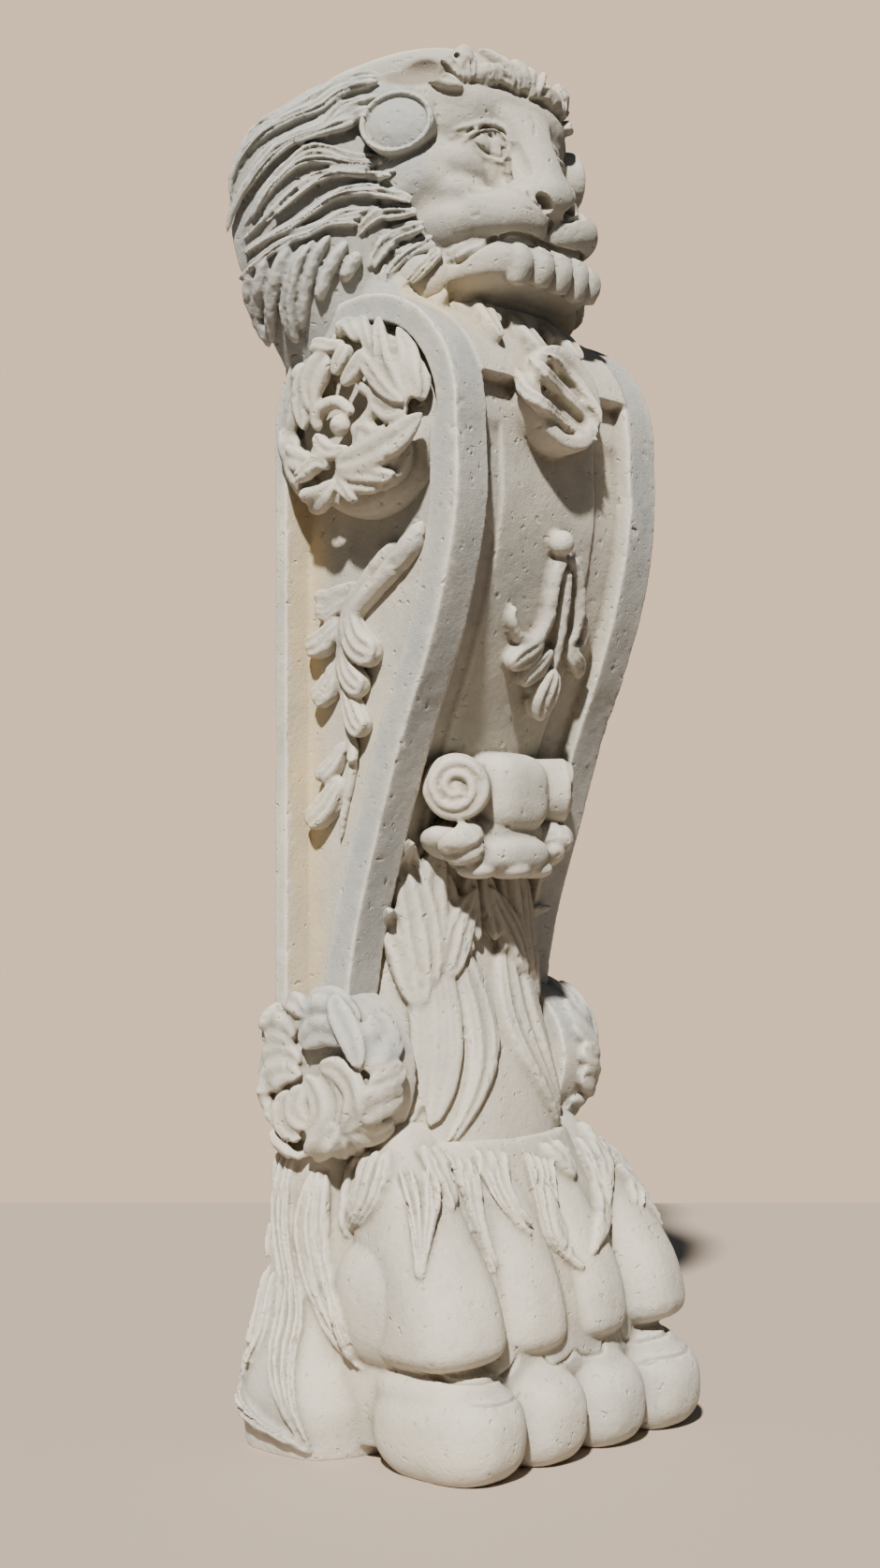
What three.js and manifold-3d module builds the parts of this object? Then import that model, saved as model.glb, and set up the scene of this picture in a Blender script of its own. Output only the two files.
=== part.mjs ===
// A cast stone corbel: a scrolled console that ends above in a lion's head with a full mane and below in a
// four-toed lion's paw. It is one casting, flat at the back, and it stands on the paw.
// Places are given as x (across, 0 on the centre plane), f (forward of the flat back) and z (up), in mm.
import * as THREE from "three";
import { mergeVertices } from "three/addons/utils/BufferGeometryUtils.js";
import Module from "manifold-3d";

const wasm = await Module();
wasm.setup();

// Driving dimensions.
const TOTAL_HEIGHT = 1248;
const CONSOLE_HALF_WIDTH = 138;
const CHEEK_THICKNESS = 34;
const CHEEK_RECESS = 28;
const ARCH_RADIUS = 113;
const ARCH_CENTRE = { f: 112, z: 908 };
const CONSOLE_FOOT = 330;
const BACK_STILE = 15;
const FRONT_BORDER = 32;
const PANEL_SINK = 13;
const ARCH_BAND = 24;
const HOLLOW_FOOT = 370;
const FIELD_HALF_WIDTH = 62;
const PLATE_HALF_WIDTH = 99;
const MEDALLION = { f: 231, z: 934, radius: 48, thick: 22 };
const UPPER_ROSETTE = { f: 104, z: 912, radius: 88, face: 156, leaves: 7 };
const LOWER_ROSETTE = { f: 70, z: 334, radius: 76, face: 162, leaves: 6 };
const BOLSTER = { z: 588, radius: 28 };
const MANE = { f: 20, z: 1106, locks: 8, relief: 22, bulge: 26, split: 0.5 };
const LEAF_RELIEF = 15;
const TOE_SPACING = 83;
const TOE = { f: 206, z: 36 };
const JAW = { halfWidth: 88, f: 146, depth: 85 };
const KNUCKLE_Z = 130;
const ANKLE_Z = 268;

// The console's front edge, from the arch's spring down to the ankle, as [z, f].
const FRONT_EDGE = [
  [908, 225],
  [830, 225.5],
  [760, 211],
  [700, 191],
  [640, 165],
  [580, 143],
  [520, 123],
  [460, 105],
  [400, 94],
  [CONSOLE_FOOT, 88],
];

// Guide lines for the mane, as [x, f, z] on the left side: beside the face, and round the flat back.
const HAIRLINE = [
  [-44, 150, 1228],
  [-104, 112, 1216],
  [-132, 96, 1180],
  [-122, 118, 1130],
  [-106, 128, 1080],
  [-98, 130, 1030],
  [-112, 120, 1010],
];
const MANE_RIM = [
  [-80, 4, 1240],
  [-142, 4, 1204],
  [-182, 4, 1150],
  [-186, 4, 1090],
  [-172, 4, 1030],
  [-150, 8, 970],
  [-144, 30, 960],
];

// The ear's turned profile: a rim round a shallow dish, as [radius, height].
const EAR_PROFILE = [
  [0, -26],
  [30, -26],
  [36, 0],
  [31, 6],
  [0, -3],
];

const LEFT = new THREE.Vector3(-1, 0, 0);
const FRONT = new THREE.Vector3(0, -1, 0);

// A place in the part, from x, forward and up.
const at = (x, f, z) => new THREE.Vector3(x, -f, z);

// Closed geometry as a solid that can be joined and cut.
function solid(geometry) {
  const bare = new THREE.BufferGeometry();
  bare.setAttribute("position", geometry.getAttribute("position"));
  bare.setIndex(geometry.index);
  const merged = mergeVertices(bare, 1e-3);
  const corners = merged.index ? merged.index.array : merged.attributes.position.array.map((_, i) => i);
  const whole = [];
  for (let i = 0; i < corners.length; i += 3) {
    const [a, b, c] = corners.slice(i, i + 3);
    if (a !== b && b !== c && c !== a) whole.push(a, b, c);
  }
  return new wasm.Manifold(
    new wasm.Mesh({
      numProp: 3,
      vertProperties: merged.attributes.position.array,
      triVerts: new Uint32Array(whole),
    }),
  );
}

// The same geometry on the other side of the centre plane, with its faces still pointing out.
function mirrored(geometry) {
  const other = geometry.index ? geometry.toNonIndexed() : geometry.clone();
  const p = other.getAttribute("position");
  for (let i = 0; i < p.count; i += 3) {
    const first = [p.getX(i), p.getY(i), p.getZ(i)];
    p.setXYZ(i, p.getX(i + 1), p.getY(i + 1), p.getZ(i + 1));
    p.setXYZ(i + 1, ...first);
  }
  for (let i = 0; i < p.count; i++) p.setX(i, -p.getX(i));
  return other;
}

const pair = (geometry) => [solid(geometry), solid(mirrored(geometry))];

// A rounded body with its radii across, forward and up; a higher squareness makes it boxier.
function blob(x, f, z, radii, { turn = [0, 0, 0], square = 2, around = 12, rings = 7 } = {}) {
  const body = new THREE.SphereGeometry(1, around, rings).rotateX(Math.PI / 2);
  const p = body.getAttribute("position");
  for (let i = 0; i < p.count; i++) {
    const sum = [p.getX(i), p.getY(i), p.getZ(i)].reduce((s, v) => s + Math.abs(v) ** square, 0);
    const reach = sum ** (-1 / square);
    p.setXYZ(i, p.getX(i) * reach, p.getY(i) * reach, p.getZ(i) * reach);
  }
  return body
    .scale(...radii)
    .applyMatrix4(new THREE.Matrix4().makeRotationFromEuler(new THREE.Euler(...turn)))
    .translate(x, -f, z);
}

// How wide a lock or leaf is along its length: it swells to its peak and draws out to a tip.
const swell = (peak, tip) => (t) =>
  t < peak ? Math.sqrt(Math.max(0, 1 - ((peak - t) / peak) ** 2)) : (1 - ((t - peak) / (1 - peak)) ** 2) ** tip;

// A lock of hair, stem or leaf: a ridged, tapering body swept through its points, flat side out.
function lock(points, width, thick, out, { peak = 0.4, tip = 0.7, sides = 4, steps = 5, square = 2 } = {}) {
  const curve = new THREE.CatmullRomCurve3(points);
  const size = swell(peak, tip);
  const body = new THREE.SphereGeometry(1, sides, steps);
  const p = body.getAttribute("position");
  const uv = body.getAttribute("uv");
  for (let i = 0; i < p.count; i++) {
    const t = THREE.MathUtils.clamp(1 - uv.getY(i), 0, 1);
    const turn = uv.getX(i) * 2 * Math.PI;
    const centre = curve.getPoint(t);
    const along = curve.getTangent(t);
    const facing = (typeof out === "function" ? out(centre) : out).clone();
    const normal = facing.addScaledVector(along, -facing.dot(along)).normalize();
    const side = normal.clone().cross(along);
    const boxy = (Math.abs(Math.cos(turn)) ** square + Math.abs(Math.sin(turn)) ** square) ** (-1 / square);
    const swollen = t === 0 || t === 1 ? 0 : boxy * size(t);
    centre.addScaledVector(side, (-Math.cos(turn) * width * swollen) / 2);
    centre.addScaledVector(normal, (Math.sin(turn) * thick * swollen) / 2);
    p.setXYZ(i, centre.x, centre.y, centre.z);
  }
  return body;
}

// A closed column whose section at each height is [z, half width, back, front], with rounded corners.
function column(sections, { sides = 20, rows = 8, square = 2.6 } = {}) {
  const body = new THREE.CylinderGeometry(1, 1, 1, sides, rows).rotateX(Math.PI / 2);
  const p = body.getAttribute("position");
  const curves = [1, 2, 3].map(
    (k) => new THREE.CatmullRomCurve3(sections.map((s) => new THREE.Vector3(s[k], s[0], 0))),
  );
  for (let i = 0; i < p.count; i++) {
    const [wide, back, front] = curves.map((c) => c.getPoint(p.getZ(i) + 0.5));
    const reach = Math.hypot(p.getX(i), p.getY(i));
    const angle = Math.atan2(p.getY(i), p.getX(i));
    const [c, s] = [Math.cos(angle), Math.sin(angle)];
    const round = reach / (Math.abs(c) ** square + Math.abs(s) ** square) ** (1 / square);
    const middle = (back.x + front.x) / 2;
    p.setXYZ(i, wide.x * round * c, -middle + ((front.x - back.x) / 2) * round * s, wide.y);
  }
  return body;
}

// A turned disc from its profile of [radius, height], with its axis pointed along a direction.
function disc(profile, place, direction, segments) {
  const points = profile.map(([r, h]) => new THREE.Vector2(r, h));
  const turn = new THREE.Quaternion().setFromUnitVectors(new THREE.Vector3(0, 1, 0), direction.clone().normalize());
  return new THREE.LatheGeometry(points, segments).applyQuaternion(turn).translate(...place.toArray());
}

// A carved surface: a grid of places between two edges, closed to one point inside the casting.
function shell(columns, rows, place, inside) {
  const body = new THREE.PlaneGeometry(1, 1, columns, rows);
  const points = [];
  for (let j = 0; j <= rows; j++) {
    for (let i = 0; i <= columns; i++) points.push(place(i / columns, j / rows));
  }
  const faces = [...body.index.array];
  const corner = (i, j) => j * (columns + 1) + i;
  const border = [
    ...Array.from({ length: columns }, (_, i) => corner(i, 0)),
    ...Array.from({ length: rows }, (_, j) => corner(columns, j)),
    ...Array.from({ length: columns }, (_, i) => corner(columns - i, rows)),
    ...Array.from({ length: rows }, (_, j) => corner(0, rows - j)),
  ];
  border.forEach((a, k) => faces.push(a, border[(k + 1) % border.length], points.length));
  points.push(inside);
  const closed = new THREE.BufferGeometry().setFromPoints(points);
  closed.setIndex(faces);
  return closed;
}

// A profile in forward and up, extruded across from x0 to x1.
function slab(shape, x0, x1, curveSegments = 9) {
  const basis = new THREE.Matrix4().makeBasis(
    new THREE.Vector3(0, -1, 0),
    new THREE.Vector3(0, 0, 1),
    new THREE.Vector3(-1, 0, 0),
  );
  return new THREE.ExtrudeGeometry(shape, { depth: x1 - x0, bevelEnabled: false, curveSegments })
    .applyMatrix4(basis)
    .translate(x1, 0, 0);
}

// How far forward the console's front edge stands at a height.
const edgeCurve = new THREE.CatmullRomCurve3(FRONT_EDGE.map(([z, f]) => new THREE.Vector3(f, z, 0)));
function frontAt(z) {
  let low = 0;
  let high = 1;
  for (let i = 0; i < 20; i++) {
    const middle = (low + high) / 2;
    if (edgeCurve.getPoint(middle).y > z) low = middle;
    else high = middle;
  }
  return edgeCurve.getPoint(low).x;
}

// The console's side outline, set in from the real one at the back, the arch and the front.
function consoleOutline(back, arch, front, foot = CONSOLE_FOOT) {
  const { f, z } = ARCH_CENTRE;
  const radius = ARCH_RADIUS - arch;
  const shape = new THREE.Shape();
  shape.moveTo(back, foot);
  shape.lineTo(back, z);
  if (f - radius > back) shape.lineTo(f - radius, z);
  shape.absarc(f, z, radius, Math.PI, 0, true);
  const rows = 7;
  for (let i = 1; i <= rows; i++) {
    const height = z + ((foot - z) * i) / rows;
    shape.lineTo(frontAt(height) - front, height);
  }
  return shape;
}

// Two cheeks with sunk side panels, and between them the sunk front panel with its raised field.
function makeConsole() {
  const inner = CONSOLE_HALF_WIDTH - CHEEK_THICKNESS;
  const floor = CONSOLE_HALF_WIDTH - CHEEK_RECESS;
  const cheek = slab(consoleOutline(0, 0, 0), inner, CONSOLE_HALF_WIDTH);
  const hollow = consoleOutline(BACK_STILE, ARCH_BAND, FRONT_BORDER, HOLLOW_FOOT);
  const sunk = slab(hollow, floor, CONSOLE_HALF_WIDTH + CHEEK_RECESS);
  const panel = slab(consoleOutline(0, PANEL_SINK, PANEL_SINK + 4), -inner - 1, inner + 1);
  const field = slab(consoleOutline(0, PANEL_SINK + 2, PANEL_SINK), -FIELD_HALF_WIDTH, FIELD_HALF_WIDTH);
  return [
    solid(cheek).subtract(solid(sunk)),
    solid(mirrored(cheek)).subtract(solid(mirrored(sunk))),
    solid(panel),
    solid(field),
  ];
}

// The plate over the top of the panel and the round medallion that hangs from it.
function makePlate() {
  const { f, z } = ARCH_CENTRE;
  const shape = new THREE.Shape();
  const low = THREE.MathUtils.degToRad(19);
  const high = THREE.MathUtils.degToRad(100);
  shape.absarc(f, z, ARCH_RADIUS + 2, low, high, false);
  shape.absarc(f, z, ARCH_RADIUS - 25, high, low, true);
  const plate = slab(shape, -PLATE_HALF_WIDTH, PLATE_HALF_WIDTH, 5);
  const { radius, thick } = MEDALLION;
  const profile = [
    [0, -thick],
    [radius, -thick],
    [radius, 0],
    [radius - 4, 5],
    [radius - 13, 4],
    [radius - 17, -3],
    [0, 0],
  ];
  const face = new THREE.Vector3(0, -1, 0.14);
  return [solid(plate), solid(disc(profile, at(0, MEDALLION.f, MEDALLION.z), face, 14))];
}

// A wreath of leaves turning round a drum on each side, with a curled bud at its heart.
function makeRosette({ f, z, radius, face, leaves }) {
  const profile = [
    [0, CONSOLE_HALF_WIDTH - CHEEK_RECESS - 4],
    [radius * 0.93, CONSOLE_HALF_WIDTH - CHEEK_RECESS - 4],
    [radius * 0.98, face - 22],
    [radius * 0.8, face - 10],
    [radius * 0.5, face - 7],
    [radius * 0.2, face - 15],
    [0, face - 2],
  ];
  const wreath = disc(profile, at(0, 0, 0), LEFT, leaves * 3);
  const p = wreath.getAttribute("position");
  for (let i = 0; i < p.count; i++) {
    const out = Math.hypot(p.getY(i), p.getZ(i)) / radius;
    if (out < 0.1 || p.getX(i) > 10 - CONSOLE_HALF_WIDTH) continue;
    const turn = (Math.atan2(p.getZ(i), p.getY(i)) * leaves) / (2 * Math.PI);
    const phase = turn + 0.01 - Math.floor(turn + 0.01);
    const twist = 0.55 * out;
    const reach = 1.06 - 0.12 * phase;
    const [y, up] = [p.getY(i) * reach, p.getZ(i) * reach];
    p.setXYZ(
      i,
      p.getX(i) - LEAF_RELIEF * (0.7 - phase),
      y * Math.cos(twist) - up * Math.sin(twist),
      y * Math.sin(twist) + up * Math.cos(twist),
    );
  }
  return pair(wreath.translate(0, -f, z));
}

// The husk spray that hangs in each side panel: a stem from the front border with leaves left and right.
function makeSpray() {
  const ground = -(CONSOLE_HALF_WIDTH - CHEEK_RECESS) - 3;
  const stem = [
    [158, 830],
    [122, 788],
    [93, 757],
    [81, 690],
    [64, 590],
    [46, 500],
  ].map(([f, z]) => at(ground, f, z));
  const made = [...pair(lock(stem, 22, 20, LEFT, { peak: 0.25, tip: 0.8, steps: 5 }))];
  const leaves = 3;
  for (let i = 0; i < leaves; i++) {
    const t = i / (leaves - 1);
    const drop = 190 * t;
    const back = [
      at(ground, 86 - 24 * t, 790 - drop),
      at(ground - 6, 58 - 12 * t, 784 - drop),
      at(ground - 4, 37, 764 - drop),
    ];
    made.push(...pair(lock(back, 38 - 8 * t, 26, LEFT, { peak: 0.6, tip: 0.45, steps: 3 })));
    const ahead = [
      at(ground, 84 - 20 * t, 765 - drop),
      at(ground - 6, 92 - 22 * t, 734 - drop),
      at(ground - 4, 106 - 30 * t, 712 - drop),
    ];
    if (i < leaves - 1) made.push(...pair(lock(ahead, 34 - 10 * t, 26, LEFT, { peak: 0.6, tip: 0.45, steps: 3 })));
  }
  return made;
}

// The pendant on the front panel: a ball, a looped strap with hooked ends, and three buds.
function makePendant() {
  const face = (z, proud) => frontAt(z) - PANEL_SINK + proud;
  const strap = [
    [0, 788],
    [11, 776],
    [12, 745],
    [15, 716],
    [27, 702],
    [38, 714],
    [36, 730],
  ].map(([x, z]) => at(-x, face(z, 5), z));
  const bud = [0, 0.5, 1].map((t) => at(-8 - 26 * t, face(708 - 26 * t, 7), 708 - 26 * t));
  return [
    solid(blob(0, face(806, 6), 806, [13, 13, 13], { around: 8, rings: 6 })),
    ...pair(lock(strap, 17, 22, FRONT, { peak: 0.2, tip: 0.35, steps: 7 })),
    ...pair(lock(bud, 24, 22, FRONT, { peak: 0.6, tip: 0.5, steps: 4 })),
    solid(blob(0, face(674, 8), 674, [16, 13, 25], { around: 8, rings: 6 })),
  ];
}

// The bolster between two corner volutes, and the turned-over leaf that hangs under it.
function makeBolster() {
  const { z, radius } = BOLSTER;
  const middle = frontAt(z);
  const profile = [
    [0, -30],
    [radius, -30],
    [radius, 0],
    [radius - 6, 4],
    [radius - 13, -2],
    [0, 5],
  ];
  const corner = new THREE.Vector3(-0.8, -0.6, 0);
  const made = [
    solid(blob(0, middle + 2, z - 2, [46, 36, 38], { square: 2.4, around: 8, rings: 5 })),
    ...pair(disc(profile, at(-60, middle + 25, z), corner, 10)),
  ];
  const lobes = 5;
  for (let i = 0; i < lobes; i++) {
    const t = (2 * i) / (lobes - 1) - 1;
    const turn = 1.15 * t;
    const reach = (r, out) => at(r * Math.sin(turn), middle - 20 + out * Math.cos(turn), 0);
    const points = [
      reach(50, 44).setZ(z - 34),
      reach(66, 62).setZ(z - 50 - 4 * Math.cos(turn)),
      reach(72, 62).setZ(z - 78 + 6 * t * t),
    ];
    const out = at(Math.sin(turn), Math.cos(turn), 0);
    made.push(solid(lock(points, 52, 32, out, { peak: 0.62, tip: 0.4, steps: 4 })));
  }
  return made;
}

// The leg from the bolster down to the ankle, with the tall strands that clasp it on each side.
function makeLeg() {
  const shin = [
    [ANKLE_Z - 8, 112, -20, 184],
    [330, 100, -20, 168],
    [400, 100, -20, 142],
    [480, 98, -20, 120],
    [560, 80, -20, 118],
  ];
  const made = [solid(column(shin, { sides: 10, rows: 4 }))];
  const strands = 3;
  for (let i = 0; i < strands; i++) {
    const t = i / (strands - 1);
    const tipZ = 478 + 62 * Math.sin(Math.PI * Math.min(1, t * 1.2)) - 6 * t;
    const points = [
      at(-110 + 46 * t, 92 + 92 * t ** 0.8, ANKLE_Z),
      at(-94 + 36 * t, 110 + 66 * t ** 0.8, ANKLE_Z + 70),
      at(-106 + 50 * t, 114 + 54 * t ** 0.8, ANKLE_Z + 150),
      at(-112 + 64 * t, 118 + 44 * t ** 0.7, tipZ),
    ];
    const out = new THREE.Vector3(-0.9 + 0.7 * t, -0.5 - 0.4 * t, 0);
    made.push(...pair(lock(points, 46, 40, out, { peak: 0.35, tip: 0.7, steps: 5 })));
  }
  return made;
}

// Four toes, each a ball on the ground under a knuckle that runs back and up to the ankle.
function makePaw() {
  const instep = [
    [40, 140, -20, 200],
    [KNUCKLE_Z, 146, -20, 226],
    [200, 132, -20, 206],
    [ANKLE_Z, 110, -20, 182],
  ];
  const made = [solid(column(instep, { sides: 10, rows: 3, square: 3 }))];
  for (const side of [-1.5, -0.5, 0.5, 1.5]) {
    const x = side * TOE_SPACING;
    const outer = Math.abs(side) > 1;
    made.push(solid(blob(x, TOE.f, TOE.z, [44, 70, 50], { square: 2.6, around: 10, rings: 6 })));
    const back = outer ? 20 : 0;
    const bone = [
      at(x, TOE.f - 2 - back / 4, KNUCKLE_Z - 52),
      at(x, TOE.f - 12 - back / 2, KNUCKLE_Z),
      at(x * 0.92, TOE.f - 34 - back, KNUCKLE_Z + 60),
      at(x * 0.7, TOE.f - 80 - back, ANKLE_Z + 24),
    ];
    const body = { peak: 0.24, tip: 0.3, sides: 8, steps: 6, square: 2.7 };
    made.push(solid(lock(bone, 90, outer ? 120 : 104, new THREE.Vector3(x / 700, -1, 0.25), body)));
  }
  made.push(...pair(blob(-124, 150, KNUCKLE_Z + 8, [46, 60, 62], { square: 2.3, around: 8, rings: 5 })));
  return made;
}

// The heel behind the toes, with strands of hair that run down over it.
function makeHeel() {
  const heel = [
    [-12, 166, -20, 112],
    [40, 182, -20, 128],
    [150, 156, -20, 96],
    [262, 146, -20, 84],
  ];
  const made = [solid(column(heel, { sides: 12, rows: 4, square: 3.4 }))];
  const strands = 2;
  for (let i = 0; i < strands; i++) {
    const t = 0.15 + (0.7 * i) / (strands - 1);
    const points = [
      at(-146, 24 + 60 * t, 262),
      at(-157, 18 + 64 * t, 186),
      at(-160, 26 + 70 * t, 116),
      at(-182 + 30 * t, 46 + 74 * t, 26 + 70 * t * t),
    ];
    made.push(...pair(lock(points, 44, 32, LEFT, { peak: 0.35, tip: 0.8, steps: 4 })));
  }
  return made;
}

// Tufts of fur that fall from the ankle over the paw, each between its root and its tip as [x, f, z].
function makeTufts() {
  const tufts = [
    { root: [-116, 104, 268], tip: [-164, 122, 168] },
    { root: [-92, 150, 272], tip: [-138, 200, 152] },
    { root: [-46, 180, 268], tip: [-62, 226, 172] },
  ];
  return tufts.flatMap(({ root, tip }) => {
    const outward = new THREE.Vector3(root[0] / 110, -1, 0.4).normalize();
    const middle = at(...root).lerp(at(...tip), 0.55).addScaledVector(outward, 10);
    return pair(lock([at(...root), middle, at(...tip)], 40, 26, outward, { peak: 0.3, tip: 0.8, steps: 4 }));
  });
}

// The face: a broad block under the brow, with nose, muzzle, eyes, ears and the ribbed lower jaw.
function makeFace() {
  const face = [
    [980, 86, -20, 178],
    [1050, 100, -20, 180],
    [1120, 112, -20, 176],
    [1150, 112, -20, 176],
    [1185, 108, -20, 189],
    [1215, 100, -20, 184],
    [1246, 90, -20, 166],
  ];
  const { halfWidth, f, depth } = JAW;
  const jaw = [
    [1006, halfWidth - 12, f - depth, f + depth - 7],
    [1018, halfWidth - 3, f - depth, f + depth],
    [1050, halfWidth, f - depth, f + depth],
    [1066, halfWidth - 5, f - depth, f + depth - 6],
  ];
  const nose = [
    [1106, 28, 150, 216],
    [1117, 33, 150, 226],
    [1132, 26, 150, 219],
    [1160, 22, 150, 205],
    [1192, 29, 150, 195],
  ];
  const made = [
    solid(column(face, { sides: 14, rows: 5, square: 3 })),
    solid(column(jaw, { sides: 14, rows: 2, square: 3 })),
    solid(column(nose, { sides: 8, rows: 4, square: 3 })),
    ...pair(blob(-50, 172, 1187, [42, 22, 13], { turn: [0, 0.14, 0.1], around: 8, rings: 5 })),
    ...pair(blob(-50, 170, 1162, [20, 16, 13], { turn: [0, -0.35, 0], around: 8, rings: 5 })),
    ...pair(blob(-76, 134, 1118, [40, 40, 42], { turn: [0, 0, -0.3], around: 8, rings: 5 })),
    ...pair(blob(-37, 172, 1086, [43, 44, 27], { turn: [0, -0.2, 0], square: 2.2, around: 8, rings: 5 })),
  ];
  const ear = disc(EAR_PROFILE, at(0, 0, 0), new THREE.Vector3(-1, -0.5, 0.1), 10);
  made.push(...pair(ear.scale(1, 1.1, 0.82).translate(-116, -136, 1169)));
  const ribs = 6;
  for (let i = 0; i < ribs; i++) {
    const x = (i - (ribs - 1) / 2) * 24;
    const front = f + depth * (1 - (Math.abs(x) / halfWidth) ** 3) ** (1 / 3) - 4;
    const rib = [at(x, front - 3, 1066), at(x, front, 1038), at(x, front - 3, 1006)];
    made.push(solid(lock(rib, 24, 15, FRONT, { peak: 0.5, tip: 0.3, steps: 3 })));
  }
  return made;
}

// Locks that stream from the face to the flat back, in tiers between the hairline and the mane's rim.
function makeMane() {
  const hairline = new THREE.CatmullRomCurve3(HAIRLINE.map((p) => at(...p)));
  const rim = new THREE.CatmullRomCurve3(MANE_RIM.map((p) => at(...p)));
  const core = at(0, MANE.f, MANE.z);
  const outward = (p) => p.clone().sub(core).setY((p.y - core.y) * 0.6).normalize();
  const surface = (u, v) => {
    const tier = v < MANE.split ? v / MANE.split : (v - MANE.split) / (1 - MANE.split);
    const sway = 0.35 * Math.sin(3 * v) + (v < MANE.split ? 0.5 : 0);
    const turn = u * MANE.locks + sway + 0.01;
    const ridge = 1 - Math.abs(2 * (turn - Math.floor(turn)) - 1);
    const p = hairline.getPoint(u).lerp(rim.getPoint(u), v);
    if (v === 0) return p.addScaledVector(outward(p), -MANE.relief);
    const bulge = MANE.bulge * Math.sin(Math.PI * v) + 8 * (1 - tier);
    return p.addScaledVector(outward(p), bulge + MANE.relief * (ridge - 0.3));
  };
  const inside = at(-40, 10, 1090);
  const made = [
    ...pair(shell(MANE.locks * 3, 6, surface, inside)),
    solid(blob(0, 0, MANE.z, [140, 100, 110], { around: 8, rings: 4 })),
    ...pair(blob(-120, 34, 948, [22, 34, 44], { square: 3, around: 8, rings: 4 })),
  ];
  const hanging = 3;
  for (let i = 0; i < hanging; i++) {
    const t = i / (hanging - 1);
    const points = [at(-128, 16 + 74 * t, 1060), at(-160, 14 + 70 * t, 1010), at(-146, 8 + 74 * t, 948 + 58 * t)];
    made.push(...pair(lock(points, 50, 44, LEFT, { peak: 0.4, tip: 0.6, steps: 4 })));
  }
  return made;
}

// The forelocks that rise from the brow to the flat top, and the beard over the plate.
function makeForelocksAndBeard() {
  const made = [solid(blob(0, 88, 1206, [130, 92, 52], { around: 10, square: 2.6, rings: 4 }))];
  const forelocks = 5;
  for (let i = 0; i < forelocks; i++) {
    const t = (2 * i) / (forelocks - 1) - 1;
    const front = 186 - 30 * t * t;
    const points = [at(74 * t, front - 6, 1198), at(84 * t, front + 4, 1226), at(102 * t, front - 24, 1252)];
    made.push(solid(lock(points, 50, 32, FRONT, { peak: 0.5, tip: 0.5, steps: 4 })));
  }
  const onArch = (x, degrees, proud) => {
    const turn = THREE.MathUtils.degToRad(degrees);
    const reach = ARCH_RADIUS + proud;
    return at(x, ARCH_CENTRE.f + reach * Math.cos(turn), ARCH_CENTRE.z + reach * Math.sin(turn));
  };
  const beardLocks = 6;
  for (let i = 0; i < beardLocks; i++) {
    const t = (2 * i) / (beardLocks - 1) - 1;
    const low = 18 + 34 * Math.abs(t);
    const points = [onArch(60 * t, 72, 0), onArch(84 * t, (72 + low) / 2, 8), onArch(100 * t, low, 4)];
    made.push(solid(lock(points, 42, 28, new THREE.Vector3(0, -0.8, 0.6), { peak: 0.4, tip: 0.7, steps: 3 })));
  }
  return made;
}

const casting = [
  ...makeConsole(),
  ...makePlate(),
  ...makeRosette(UPPER_ROSETTE),
  ...makeRosette(LOWER_ROSETTE),
  ...makeSpray(),
  ...makePendant(),
  ...makeBolster(),
  ...makeLeg(),
  ...makePaw(),
  ...makeHeel(),
  ...makeTufts(),
  ...makeFace(),
  ...makeMane(),
  ...makeForelocksAndBeard(),
].reduce((whole, next) => whole.add(next));

// The block that the casting is kept within: flat back, flat top and the ground.
const reach = 600;
const mould = new THREE.BoxGeometry(reach, reach, TOTAL_HEIGHT).translate(0, -reach / 2, TOTAL_HEIGHT / 2);
// The crown has lost a piece above the left ear.
const lost = solid(blob(-86, 126, 1250, [36, 28, 22], { around: 8, rings: 6 }));
const whole = casting.intersect(solid(mould)).subtract(lost);

const made = whole.getMesh();
const corbelGeometry = new THREE.BufferGeometry();
corbelGeometry.setAttribute("position", new THREE.BufferAttribute(new Float32Array(made.vertProperties), 3));
corbelGeometry.setIndex(new THREE.BufferAttribute(new Uint32Array(made.triVerts), 1));
corbelGeometry.computeBoundingBox();
corbelGeometry.computeVertexNormals();

const castStone = new THREE.MeshStandardMaterial({ color: 0xc9c4b6, roughness: 0.92, metalness: 0 });
const corbel = new THREE.Mesh(corbelGeometry, castStone);
corbel.name = "lion_corbel";
// The origin is on the ground, under the middle of the casting.
corbel.position.set(0, -(corbelGeometry.boundingBox.min.y + corbelGeometry.boundingBox.max.y) / 2, 0);

const part = new THREE.Group();
part.name = "cast_stone_corbel";
part.add(corbel);

export default part;
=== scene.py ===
# %% [markdown]
# # A cast stone corbel with a lion's head and paw
# The real object is one casting: a scrolled console with a lion's head above and a lion's paw below. The
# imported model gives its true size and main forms. Here each region is carved finely, over that model.
# Guide points are in millimetres, as on a workshop drawing, and at() gives them their place in the frame.

# %% Load the frame
from math import cos, pi, radians, sin

import bpy
import numpy as np
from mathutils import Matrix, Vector
from mathutils.bvhtree import BVHTree


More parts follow.
